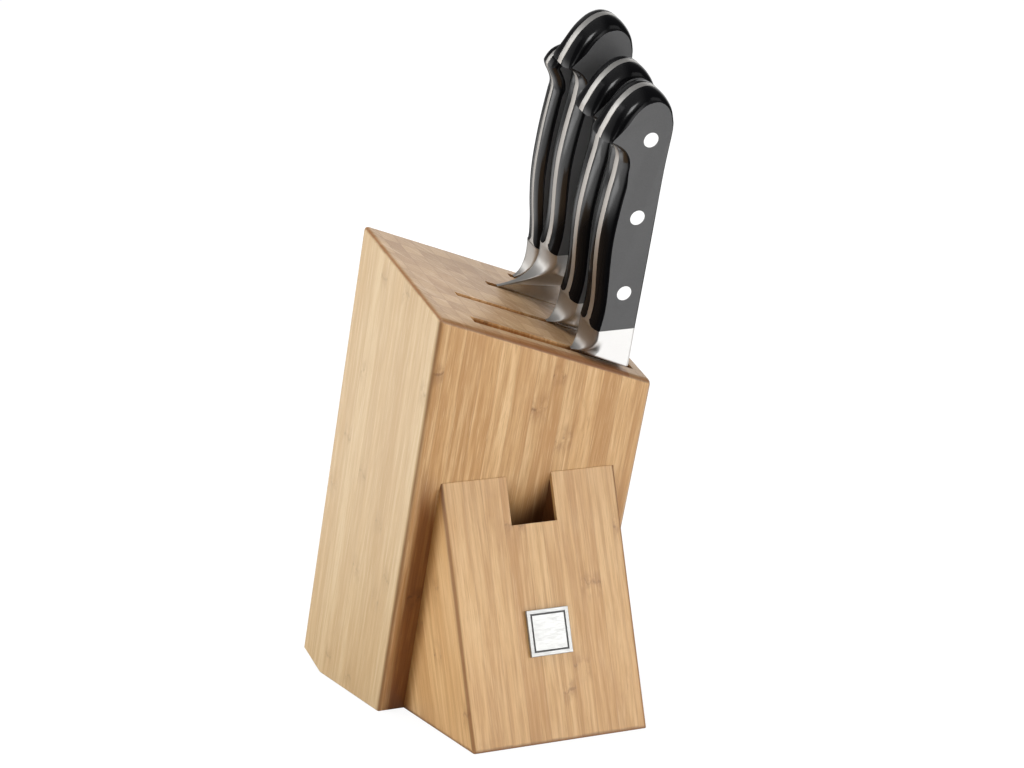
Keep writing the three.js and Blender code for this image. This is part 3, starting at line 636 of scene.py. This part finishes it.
def make_foot():
    edges = (FOOT_X, FOOT_RIGHT, FOOT_FRONT, FOOT_FRONT + FOOT_H, None)
    wood = bamboo("bamboo_foot", -FOOT_SLOPE, edges, FOOT_TINTS, foot_painted_shade, 3.0)
    whole = foot_whole()

    def cut(node, **spans):
        cut_board(node + "_wood", whole, wood, node, **spans)

    cut("foot_left_cheek", x=(None, POCKET_LEFT))
    cut("foot_right_cheek", x=(POCKET_RIGHT, None))
    cut("foot_centre", x=(POCKET_LEFT, POCKET_RIGHT), y=(None, -POCKET_D))
    bpy.data.objects.remove(whole)
    pocket_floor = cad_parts["foot_pocket_floor"].data
    pocket_floor.materials.clear()
    pocket_floor.materials.append(wood)


# ------------------------------------------------------------------ knives
LINE_STEPS = 4          # steps in each span of an outline
LOOP_REACH = 16         # points ahead that are searched for a loop
STEEL_BELLY_SHADE = (0.25, 0.222, 0.195, 1)
STEEL_SIDE_LIGHT = (0.88, 0.87, 0.855, 1)


def tip_height(k):
    tip = Vector((k["spine"] - FOOT_NARROW - k["drop"] * TIP_AT ** 3 - TIP_W, 0,
                  -k["down"] - k["blade"] * TIP_AT))
    return (BLOCK_FRAME.inverted() @ knife_place(k) @ tip).z


def knife_place(k):
    """Frame of a knife: x towards its spine, y to the back, z up its handle."""
    foot_x = SLOT_RIGHT - k["gap"] - k["spine"]
    foot_u = top_at(foot_x - k["out"]) + SEAT + k["down"]
    i = KNIVES.index(k)
    plane = slot_front(i) + SLOT_WIDTHS[i] / 2
    return (BLOCK_FRAME @ Matrix.Translation((foot_x, plane, foot_u))
            @ Matrix.Rotation(-radians(k["tilt"]), 4, "Y"))


def smooth_line(points):
    """A Catmull-Rom curve through the points."""
    out = []
    last = len(points) - 1
    for i in range(last):
        p = [Vector(points[min(max(i + d, 0), last)]) for d in (-1, 0, 1, 2)]
        for n in range(LINE_STEPS):
            t = n / LINE_STEPS
            out.append(0.5 * (2 * p[1] + (p[2] - p[0]) * t + (2 * p[0] - 5 * p[1] + 4 * p[2] - p[3]) * t ** 2
                              + (3 * p[1] - p[0] - 3 * p[2] + p[3]) * t ** 3))
    out.append(Vector(points[-1]))
    return out


def handle_outline(k):
    """Points of the outline as (x, u), and how much of the rounding each one takes."""
    grip, pommel, spine = k["grip"], k["pommel"], k["spine"]
    belly, step, crown = (k["outline"][key] for key in ("belly", "step", "crown"))
    grown = [(x * grip, u * grip) for x, u in belly + step]
    corner_x, corner_u = grown[-1]
    right = spine - TOP_NARROW
    top = [(corner_x + x * (spine + k["flare"] - corner_x), corner_u + u * pommel) for x, u in crown]
    spine_side = [(right, grip * 0.85), (right - TOP_NARROW / 2, grip * 0.6),
                  (right - TOP_NARROW, grip * 0.35), (spine - FOOT_NARROW, 0)]
    if k["outline"] is SMALL_OUTLINE:
        line = smooth_line(grown + top + spine_side)
        count = LINE_STEPS * (len(grown) - 1)
    else:
        lower = smooth_line(grown)
        line = lower + smooth_line([grown[-1]] + top + spine_side)[1:]
        count = len(lower)
    start = LINE_STEPS * (len(belly) - 1)
    step_round, crown_round = k["outline"]["step_round"], k["outline"]["crown_round"]
    shares = []
    for i, p in enumerate(line):
        high = step_round + (crown_round - step_round) * smoothstep(p.y, grip, grip + pommel * 0.5)
        faded = 1 - CROWN_FADE * smoothstep(p.x, spine * 0.35, spine)
        low = 1 + (step_round - 1) * smoothstep(i, start - 2, start + 4)
        shares.append(low if i < count else high * faded)
    return line, shares


def inward(line):
    out = []
    for i in range(len(line)):
        if i == 0:
            out.append(Vector((1, 0)))
        elif i == len(line) - 1:
            out.append(Vector((-1, 0)))
        else:
            step = (line[i + 1] - line[i - 1]).normalized()
            out.append(Vector((step.y, -step.x)))
    return out


def belly_in(share, power=BELLY_POWER):
    """How far the belly has come in at a share of the way out from the tang to the flat side."""
    return 1 - sqrt(1 - min(1, max(0, share) * 0.999) ** power)


def inset_at(k, u):
    return BELLY_INSET * (LOW_INSET + (1 - LOW_INSET) * smoothstep(u, 0, k["grip"] * 0.35))


def out_share(k, away):
    tang = k["tang"] / 2
    return min(max((away - tang) / (k["half"] - tang), 0), 1)


def corner_level(k, away):
    """Level of the rounded corner between tang and bolster."""
    reach = min(CORNER_R, max(0, k["tang"] / 2 + CORNER_R - away))
    return CORNER_R - sqrt(CORNER_R ** 2 - reach ** 2)


def untangled(line):
    """Draws in the small loop an outline makes where it is inset past the pommel's sharp corner."""
    out = list(line)
    for i in range(len(out) - 1):
        for j in range(i + 2, min(i + LOOP_REACH, len(out) - 1)):
            ahead, other, apart = out[i + 1] - out[i], out[j + 1] - out[j], out[j] - out[i]
            turn = ahead.cross(other)
            if turn == 0:
                continue
            first, second = apart.cross(other) / turn, apart.cross(ahead) / turn
            if 0 < first < 1 and 0 < second < 1:
                out[i + 1:j + 1] = [out[i] + ahead * first] * (j - i)
    return out


def handle_ring(k, line, shares, normals, away):
    t = out_share(k, away)
    spine_t = min(max((t - 0.72) / 0.28, 0), 1)
    spine = SPINE_INSET * (1 - sqrt(1 - (spine_t * 0.999) ** 2))
    low = corner_level(k, away) + SCALE_FIT
    ring = []
    for p, share, n in zip(line, shares, normals):
        side = smoothstep(p.x / k["spine"], 0.55, 0.98) * (
            1 - smoothstep(p.y, k["grip"], k["grip"] + k["pommel"] * 0.6))
        belly = inset_at(k, p.y) * belly_in(t)
        inset = belly * (1 - side) * share + spine * side
        ring.append(p + n * inset)
    return [Vector((p.x, away, max(low, p.y))) for p in untangled(ring)]


def loft_mesh(rings):
    """Closed body through rings of points, as a bmesh."""
    bm = bmesh.new()
    rows = [[bm.verts.new(p) for p in ring] for ring in rings]
    count = len(rings[0])
    for a, b in zip(rows, rows[1:]):
        for i in range(count):
            j = (i + 1) % count
            bm.faces.new((a[i], a[j], b[j], b[i]))
    for row in (rows[0], rows[-1]):
        bm.faces.new(row)
    bmesh.ops.recalc_face_normals(bm, faces=bm.faces)
    return bm


def knife_object(name, bm, k, materials, sharp):
    set_in(bm, knife_place(k))
    for face in bm.faces:
        face.smooth = True
    mesh = mesh_from(bm, name)
    mesh.set_sharp_from_angle(angle=sharp)
    beside = {}
    for face in mesh.polygons:
        for key in face.edge_keys:
            beside.setdefault(key, set()).add(face.material_index)
    for edge in mesh.edges:
        if len(beside[edge.key]) > 1:
            edge.use_edge_sharp = True
    return add_object(name, mesh, materials)


def polish(k, place, p):
    """How glossy a scale is at a point, a painted mask for its reflections: dull low down, and on the crown
    away from its middle.
    """
    stands = place @ p
    lit = smoothstep(stands.z + GLOSS_SLANT * stands.y, DULL_BELOW, GLOSSY_ABOVE)
    on_crown = smoothstep(p.z, k["grip"] * 0.97, k["grip"] * 1.06)
    corner = k["outline"]["step"][-1][0] * k["grip"]
    across = (p.x - corner) / (k["spine"] - corner)
    middle = smoothstep(across, 0.14, 0.32) * (1 - smoothstep(across, 0.36, 0.56))
    return lit * (1 - on_crown) + middle * on_crown


def make_scale(k, side, sign, materials):
    line, shares = handle_outline(k)
    normals = inward(line)
    inner = k["tang"] / 2 + SCALE_FIT
    corner = k["tang"] / 2 + CORNER_R
    bends, rounds = 7, 8
    levels = [inner + (corner - inner) * (1 - cos(pi / 2 * n / bends)) for n in range(bends + 1)]
    levels += [corner + (k["half"] - corner) * sin(pi / 2 * n / rounds) for n in range(1, rounds + 1)]
    rings = []
    for away in levels:
        rings.append([Vector((p.x, sign * p.y, p.z)) for p in handle_ring(k, line, shares, normals, away)])
    bm = loft_mesh(rings)
    gloss = bm.verts.layers.float.new("gloss")
    place = knife_place(k)
    for vert in bm.verts:
        vert[gloss] = polish(k, place, vert.co)
    flat = k["half"] - 1e-4
    for face in bm.faces:
        if all(v.co.y * sign > flat for v in face.verts):
            face.material_index = 1
    obj = knife_object(f"{k['name']}_{side}_scale", bm, k, materials, SCALE_SHARP)
    finish_piece(obj, k["name"] + "_knife", "scale_black", f"{k['name']}_knife_{side}_scale")


def heel_half(k, x):
    """Half the blade's thickness across its width at the heel: a wedge from the edge, then flat."""
    share = (x + k["out"]) / ((k["spine"] - FOOT_NARROW + k["out"]) * WEDGE)
    return EDGE_T / 2 + (BLADE_HALF - EDGE_T / 2) * min(max(share, 0), 1)


def bolster_mesh(k):
    """Swept in rows that fan out from the belly edge, heel tip to scales, to the spine."""
    rows, turns, columns = 40, 10, 22
    heel = Vector((-k["out"], -k["down"]))
    first, second = Vector((heel.x * 0.25, heel.y * k["level"])), Vector((k["sweep"], heel.y * 0.56))
    back = k["spine"] - FOOT_NARROW
    rings = []
    for r in range(rows + 1):
        w = r / rows
        edge = heel * (1 - w) ** 3 + first * 3 * w * (1 - w) ** 2 + second * 3 * w * w * (1 - w)
        fallen = (-edge.y - SIDE_H[0]) / (k["down"] - SIDE_H[0])
        low = max(0, fallen)
        level = min(1, -edge.y / k["down"])
        grown = k["half"] * min(1, 1.05 * (1 - level ** 2) ** k["rim"])
        rim = max(grown, hypot(HEEL_HALF, grown * 0.9))
        spine_u = -SIDE_H[1] - SIDE_FALL * fallen if fallen > 0 else edge.y * (SIDE_H[1] / SIDE_H[0])
        along = Vector((back, spine_u)) - edge
        span = along.length
        along.normalize()
        depth = inset_at(k, edge.y) * rim / k["half"]
        side = []
        for n in range(turns + 1):
            share = sin(pi / 2 * n / turns)
            away = 0 if n == 0 else k["tang"] / 2 * rim / k["half"] * (1 - share) + rim * share
            p = edge + along * depth * belly_in(share, BELLY_POWER + (HEEL_POWER - BELLY_POWER) * level)
            side.append(Vector((p.x, away, p.y)))
        for n in range(1, columns + 1):
            reach = depth + (n / columns) ** 1.6 * (span - depth)
            p = edge + along * reach
            thin = heel_half(k, p.x) - 0.05 * low
            flat = thin + (k["half"] - thin) * (1 - low ** k["hollow"]) ** 2
            rise = 1 - smoothstep(reach - depth, 0, RIM_BACK)
            edge_in = 1 - 0.12 * smoothstep(reach, span - 1.4, span) ** 2
            side.append(Vector((p.x, (flat + (rim - flat) * rise) * edge_in, p.y)))
        rings.append(side + [Vector((p.x, -p.y, p.z)) for p in reversed(side[1:])])
    return loft_mesh(rings)


def blade_mesh(k):
    stations = 60
    back = k["spine"] - FOOT_NARROW
    width = back + k["out"]
    rings = []
    for n in range(stations + 1):
        r = (n / stations) ** 0.85 * TIP_AT
        spine_x = back - k["drop"] * r ** 3
        edge_x = spine_x - max(width * (1 - r ** k["curve"]) ** 0.72, TIP_W)
        u = -k["down"] - k["blade"] * r
        half = BLADE_HALF * (1 - 0.5 * r)
        thin = min(EDGE_T / 2, half)
        shoulder = edge_x + (spine_x - edge_x) * WEDGE
        rings.append([Vector(p) for p in (
            (edge_x, -thin, u), (shoulder, -half, u), (spine_x, -half, u),
            (spine_x, half, u), (shoulder, half, u), (edge_x, thin, u))])
    return loft_mesh(rings)


def tang_mesh(k):
    line, _ = handle_outline(k)
    closed = line + [Vector((line[-1].x - NECK_IN, -SIDE_H[0] / 2)), Vector((NECK_IN, -SIDE_H[0] / 2))]
    normals = inward(closed)
    rings = []
    for away, inset in ((-1, 0.15), (-0.9, 0.03), (-0.8, 0.0), (0.8, 0.0), (0.9, 0.03), (1, 0.15)):
        rings.append([Vector((p.x + n.x * inset, away * k["tang"] / 2, p.y + n.y * inset))
                      for p, n in zip(closed, normals)])
    return loft_mesh(rings)


def corner_mesh(k, sign):
    """The steel that fills the rounded corner between tang and bolster, on one side."""
    line, _ = handle_outline(k)
    tang = k["tang"] / 2
    steps, heights = 12, 8
    back = k["spine"] - FOOT_NARROW

    def belly_x(u):
        for a, b in zip(line, line[1:]):
            if a.y <= u <= b.y:
                return a.x + (b.x - a.x) * (u - a.y) / (b.y - a.y)
        return line[0].x

    rings = []
    for n in range(steps + 1):
        away = tang - 0.2 if n == 0 else tang + CORNER_R * (1 - cos(pi / 2 * n / steps))
        top = max(corner_level(k, max(away, tang)), 0.01)
        come_in = belly_in(out_share(k, away))
        front = []
        for m in range(heights + 1):
            u = top * m / heights
            front.append(Vector((belly_x(u) + inset_at(k, u) * come_in + 0.01, sign * away, u)))
        low = [Vector((back - 0.1, sign * away, -SEAT)), Vector((front[0].x + 0.3, sign * away, -SEAT))]
        rings.append(front + [Vector((back - 0.05, sign * away, top))] + low)
    return loft_mesh(rings)


def make_blade(k, satin, polished):
    parts = [blade_mesh(k), bolster_mesh(k), tang_mesh(k), corner_mesh(k, -1), corner_mesh(k, 1)]
    whole = bmesh.new()
    for n, bm in enumerate(parts):
        for face in bm.faces:
            face.material_index = 1 if n == 0 else 0
        mesh = mesh_from(bm, "part")
        whole.from_mesh(mesh)
        bpy.data.meshes.remove(mesh)
    obj = knife_object(f"{k['name']}_forged_blade", whole, k, [satin, polished], STEEL_SHARP)
    finish_piece(obj, k["name"] + "_knife", "knife_steel", k["name"] + "_knife_blade")


def steel(name, colour, rough, relief, belly=0.0, side=0.0):
    """Brushed steel. belly is how far painted shade darkens a rounded front, side how far painted light
    makes a flat side paler.
    """
    f = Finish(name)
    spot = f.place()
    brushed = f.noise(f.stretch(spot, (600, 9000, 120)))
    patchy = f.noise(f.stretch(spot, (60, 60, 60)))
    shine = f.math("ADD", f.ramp(brushed, 0.3, 0.7, rough * 0.9, rough * 1.12),
                   f.ramp(patchy, 0.3, 0.7, -0.01, 0.015))
    facing = f.parts(f.normal())
    front_shade = f.times(f.ramp(facing[0], -0.30, -0.75), f.ramp(facing[2], 0.5, 0.25))
    # Painted shade on rounded fronts that face left and not up, and painted light on the flat sides.
    base = f.layers(
        f.mix(f.ramp(patchy, 0.3, 0.7), colour, shaded(colour, 0.94)),
        (f.times(front_shade, belly), STEEL_BELLY_SHADE),
        (f.ramp(f.math("ABSOLUTE", facing[1]), 0.72, 0.90, 0.0, side), STEEL_SIDE_LIGHT))
    return f.shade(Base_Color=base, Metallic=1.0, Roughness=shine,
                   Normal=f.bump(brushed, relief, 0.00002))


def plastic(name, colour, rough, grain, level):
    """Handle plastic. level is its gloss where the scale is dull; polish sets where that is, as a painted
    mask for its reflections.
    """
    f = Finish(name)
    spot = f.place()
    fine = f.noise(f.stretch(spot, (2600, 2600, 2600)))
    cloud = f.noise(f.stretch(spot, (90, 90, 90)), 3.0)
    gloss = f.node("ShaderNodeAttribute", attribute_name="gloss").outputs["Fac"]
    return f.shade(Base_Color=f.mix(f.ramp(fine, 0.35, 0.65), colour, shaded(colour, 0.9)),
                   Roughness=f.ramp(cloud, 0.3, 0.7, rough * 0.9, rough * 1.12), IOR=1.48,
                   Specular_IOR_Level=f.ramp(gloss, 0.0, 1.0, level, 0.5),
                   Normal=f.bump(fine, grain, 0.00004))


# ------------------------------------------------------------------ rivets
def rivet_tree(material):
    """Rivets up a handle: the tree makes one rivet and sets three of it along the grip."""
    tree = bpy.data.node_groups.new("rivet_row", "GeometryNodeTree")
    sizes = {}
    face = tree.interface
    for name in ("Radius", "Length", "First", "Spacing", "Across"):
        sizes[name] = face.new_socket(name, in_out="INPUT", socket_type="NodeSocketFloat").identifier
    face.new_socket("Geometry", in_out="OUTPUT", socket_type="NodeSocketGeometry")
    nodes, links = tree.nodes, tree.links
    given = nodes.new("NodeGroupInput")
    pin = nodes.new("GeometryNodeMeshCylinder")
    pin.fill_type = "NGON"
    pin.inputs["Vertices"].default_value = 48
    links.new(given.outputs["Radius"], pin.inputs["Radius"])
    links.new(given.outputs["Length"], pin.inputs["Depth"])
    turn = nodes.new("GeometryNodeTransform")
    turn.inputs["Rotation"].default_value = (pi / 2, 0, 0)
    links.new(pin.outputs["Mesh"], turn.inputs["Geometry"])
    row = nodes.new("GeometryNodeMeshLine")
    row.inputs["Count"].default_value = len(RIVET_PLACES)
    start = nodes.new("ShaderNodeCombineXYZ")
    links.new(given.outputs["Across"], start.inputs["X"])
    links.new(given.outputs["First"], start.inputs["Z"])
    step = nodes.new("ShaderNodeCombineXYZ")
    links.new(given.outputs["Spacing"], step.inputs["Z"])
    links.new(start.outputs[0], row.inputs["Start Location"])
    links.new(step.outputs[0], row.inputs["Offset"])
    place = nodes.new("GeometryNodeInstanceOnPoints")
    links.new(row.outputs["Mesh"], place.inputs["Points"])
    links.new(turn.outputs["Geometry"], place.inputs["Instance"])
    real = nodes.new("GeometryNodeRealizeInstances")
    links.new(place.outputs[0], real.inputs[0])
    paint = nodes.new("GeometryNodeSetMaterial")
    paint.inputs["Material"].default_value = material
    links.new(real.outputs[0], paint.inputs[0])
    links.new(paint.outputs[0], nodes.new("NodeGroupOutput").inputs[0])
    return tree, sizes


def make_rivets(k, tree, sizes):
    name = f"{k['name']}_rivets"
    obj = add_object(name, bpy.data.meshes.new(name))
    row = obj.modifiers.new("row", "NODES")
    row.node_group = tree
    values = {"Radius": RIVET_R, "Length": 2 * (k["half"] + RIVET_PROUD), "First": 0.201 * k["grip"],
              "Spacing": 0.405 * k["grip"], "Across": 0.52 * k["spine"]}
    for key, value in values.items():
        row[sizes[key]] = value
    baked(obj)
    obj.data.transform(Matrix.Scale(MM, 4) @ knife_place(k))
    obj.data.set_sharp_from_angle(angle=SHARP)
    nodes = [f"{k['name']}_knife_{place}_rivet" for place in RIVET_PLACES]
    finish_piece(obj, k["name"] + "_knife", "rivet_steel", *nodes)


def make_knives():
    glossy = plastic("scale_belly", (0.0035, 0.0035, 0.004, 1), 0.16, 0.02, 0.05)
    satin = plastic("scale_flat", (0.098, 0.098, 0.099, 1), 0.40, 0.10, 0.4)
    # The forged steel carries painted shade on its fronts and painted light on its flat sides.
    forged = steel("forged_steel", (0.62, 0.605, 0.58, 1), 0.47, 0.03, 0.55, 0.9)
    polished = steel("polished_steel", (0.78, 0.77, 0.755, 1), 0.22, 0.01)
    bright = steel("rivet_steel", (0.93, 0.93, 0.92, 1), 0.22, 0.03)
    tree, sizes = rivet_tree(bright)
    for k in KNIVES:
        for side, sign in (("near", -1), ("far", 1)):
            make_scale(k, side, sign, [glossy, satin])
        make_blade(k, forged, polished)
        make_rivets(k, tree, sizes)


# ------------------------------------------------------------------ badge
BADGE_RIM_METAL = (0.40, 0.40, 0.39, 1)
BADGE_FIELD = (0.45, 0.45, 0.44, 1)
BADGE_GRAIN = (0.42, 0.42, 0.41, 1)
BADGE_ENAMEL = (0.035, 0.033, 0.032, 1)


def badge_frame():
    """Frame of the badge, from its centre: x across, y up the foot's front face, z out of it."""
    toe = Vector((FOOT_X + FOOT_W / 2, -FOOT_D, 0)) - ORIGIN
    up = Vector((0, sin(FOOT_SLOPE), cos(FOOT_SLOPE)))
    return Matrix.Translation(toe + up * BADGE_UP) @ Matrix.Rotation(pi / 2 - FOOT_SLOPE, 4, "X")


def badge_metal():
    """Brushed rim, dark enamelled border line and a paler field."""
    f = Finish("badge_metal")
    spot = f.place()
    place = badge_frame()
    centre = place.translation * MM
    local = f.node("ShaderNodeVectorMath", {0: spot, 1: centre}, operation="SUBTRACT").outputs[0]
    across = f.times(f.parts(local)[0], 1000)
    height = f.times(f.dot(local, place.to_3x3().col[1]), 1000)
    out = f.math("MAXIMUM", f.math("ABSOLUTE", across), f.math("ABSOLUTE", height))
    line = f.times(f.ramp(out, BADGE_OUTER + 0.06, BADGE_OUTER - 0.04),
                   f.ramp(out, BADGE_INNER - 0.06, BADGE_INNER + 0.04))
    grain = f.noise(f.stretch(spot, (300, 4000, 4000)), 3.0)
    colour = f.layers(
        f.mix(f.ramp(out, BADGE_OUTER - 0.2, BADGE_OUTER - 0.4), BADGE_RIM_METAL, BADGE_FIELD),
        (f.ramp(grain, 0.35, 0.7, 0.0, 0.22), BADGE_GRAIN),
        (line, BADGE_ENAMEL))
    return f.shade(Base_Color=colour, Metallic=f.ramp(line, 0.2, 0.8, 0.85, 0.0),
                   Roughness=f.ramp(grain, 0.3, 0.7, 0.34, 0.46), Normal=f.bump(grain, 0.06, 0.00003))


def make_badge():
    """A square plate with softened edges, and a border line sunk into its face."""
    half, top = BADGE / 2, SEAT + BADGE_T
    sunk = top - BADGE_SINK
    profile = ((half - BADGE_SOFT, SEAT), (half, SEAT + BADGE_SOFT), (half, top - BADGE_SOFT),
               (half - BADGE_SOFT, top), (BADGE_OUTER, top), (BADGE_OUTER - 0.05, sunk),
               (BADGE_INNER + 0.05, sunk), (BADGE_INNER, top))
    corners = ((-1, -1), (1, -1), (1, 1), (-1, 1))
    bm = loft_mesh([[Vector((x * reach, y * reach, z)) for x, y in corners] for reach, z in profile])
    set_in(bm, badge_frame())
    badge = add_object("badge", mesh_from(bm, "badge"), [badge_metal()])
    finish_piece(badge, "block", "badge_metal", "badge_plate")


# ------------------------------------------------------------------ studio
CAMERA_AT = (-0.5652, -1.2088, 0.4055)
CAMERA_LOOK = (0.4303, 0.8815, -0.1946)
CAMERA_LENS = 105.2
FLOOR_REACH = 6
FLOOR_GREY = 0.84
FLOOR_SEEN = 0.88
WORLD_FILL = 0.04
WORLD_SHINE = 0.30
# Name, place, target, size, power, and whether it shows in reflections.
LAMPS = (
    ("left_softbox", (-1.5, 0.75, 0.55), (0, 0, 0.15), (1.5, 1.6), 17, True),
    ("right_front_softbox", (1.0, -1.7, 0.65), (0, 0, 0.12), (1.0, 1.0), 14.5, True),
    ("back_softbox", (0.3, 1.9, 1.3), (0, 0, 0.15), (2.0, 1.2), 26, False),
    ("top_softbox", (-0.2, 0.1, 2.0), (0, 0, 0.15), (1.6, 1.6), 35, False),
    ("key_softbox", (-1.25, -1.55, 0.75), (0, 0, 0.25), (0.6, 0.6), 8, True),
    ("sheen_card", (1.3, 1.45, 0.9), (0, 0, 0.2), (1.6, 1.2), 6, True),
)


def aimed(name, data, place, look):
    """Puts a camera or a lamp at a place, looking along a direction."""
    obj = add_object(name, data)
    obj.location = place
    obj.rotation_euler = look.to_track_quat("-Z", "Y").to_euler()
    return obj


def make_camera():
    data = bpy.data.cameras.new("camera")
    data.sensor_width = 36
    data.lens = CAMERA_LENS
    data.clip_end = 20
    bpy.context.scene.camera = aimed("camera", data, CAMERA_AT, Vector(CAMERA_LOOK))


def make_lamps():
    for name, place, target, size, power, shows in LAMPS:
        data = bpy.data.lights.new(name, "AREA")
        data.shape = "RECTANGLE"
        data.size, data.size_y = size
        data.energy = power
        lamp = aimed(name, data, place, Vector(target) - Vector(place))
        lamp.visible_glossy = shows


def make_floor():
    """White floor. The camera sees mostly its own white, and the rest of it takes the shadow."""
    bm = bmesh.new()
    bmesh.ops.create_grid(bm, x_segments=1, y_segments=1, size=FLOOR_REACH)
    f = Finish("floor_white")
    lit = f.node("ShaderNodeBsdfDiffuse", {"Color": grey(FLOOR_GREY)}).outputs[0]
    spot = f.place()
    away = f.node("ShaderNodeVectorMath", {0: spot}, operation="LENGTH").outputs["Value"]
    white = f.glow(f.ramp(away, 0.5, 2.0, 1.06, 1.15))

    # In reflections the floor is bright on the left and close on the right, and dark between.
    x, y = f.parts(spot)[:2]
    left = f.times(f.ramp(f.math("MULTIPLY_ADD", x, -0.9, y), 0.0, 0.75, 0.02, 1.25),
                   f.ramp(f.math("MULTIPLY_ADD", y, 0.35, x), 0.0, 0.5, 1.0, 0.12))
    right = f.times(f.ramp(x, -0.1, 0.1, 0.0, 1.25), f.ramp(y, 0.1, 0.4, 1.0, 0.12))
    mirrored = f.glow(f.math("MAXIMUM", left, right))
    path = f.node("ShaderNodeLightPath").outputs
    seen = f.times(path["Is Camera Ray"], FLOOR_SEEN)
    mix = f.node("ShaderNodeMixShader", {0: seen, 1: lit, 2: white})
    mix = f.node("ShaderNodeMixShader", {0: path["Is Glossy Ray"], 1: mix.outputs[0], 2: mirrored})
    f.tree.links.new(mix.outputs[0], f.output.inputs[0])
    floor = add_object("floor", mesh_from(bm, "floor"), [f.material])


def make_world():
    """White to the camera, dim as a light, and between in reflections."""
    world = bpy.data.worlds.new("studio")
    bpy.context.scene.world = world
    world.use_nodes = True
    nodes, links = world.node_tree.nodes, world.node_tree.links
    path = nodes.new("ShaderNodeLightPath")
    level = nodes.new("ShaderNodeMapRange")
    level.inputs["To Min"].default_value = WORLD_FILL
    level.inputs["To Max"].default_value = WORLD_SHINE
    links.new(path.outputs["Is Glossy Ray"], level.inputs["Value"])
    most = nodes.new("ShaderNodeMath")
    most.operation = "MAXIMUM"
    links.new(level.outputs[0], most.inputs[0])
    links.new(path.outputs["Is Camera Ray"], most.inputs[1])
    links.new(most.outputs[0], nodes["Background"].inputs["Strength"])
    nodes["Background"].inputs["Color"].default_value = grey(1)


# ------------------------------------------------------------------ build
make_block()
make_foot()
make_knives()
make_badge()
make_camera()
make_lamps()
make_floor()
make_world()
bpy.context.scene.view_settings.view_transform = "Standard"
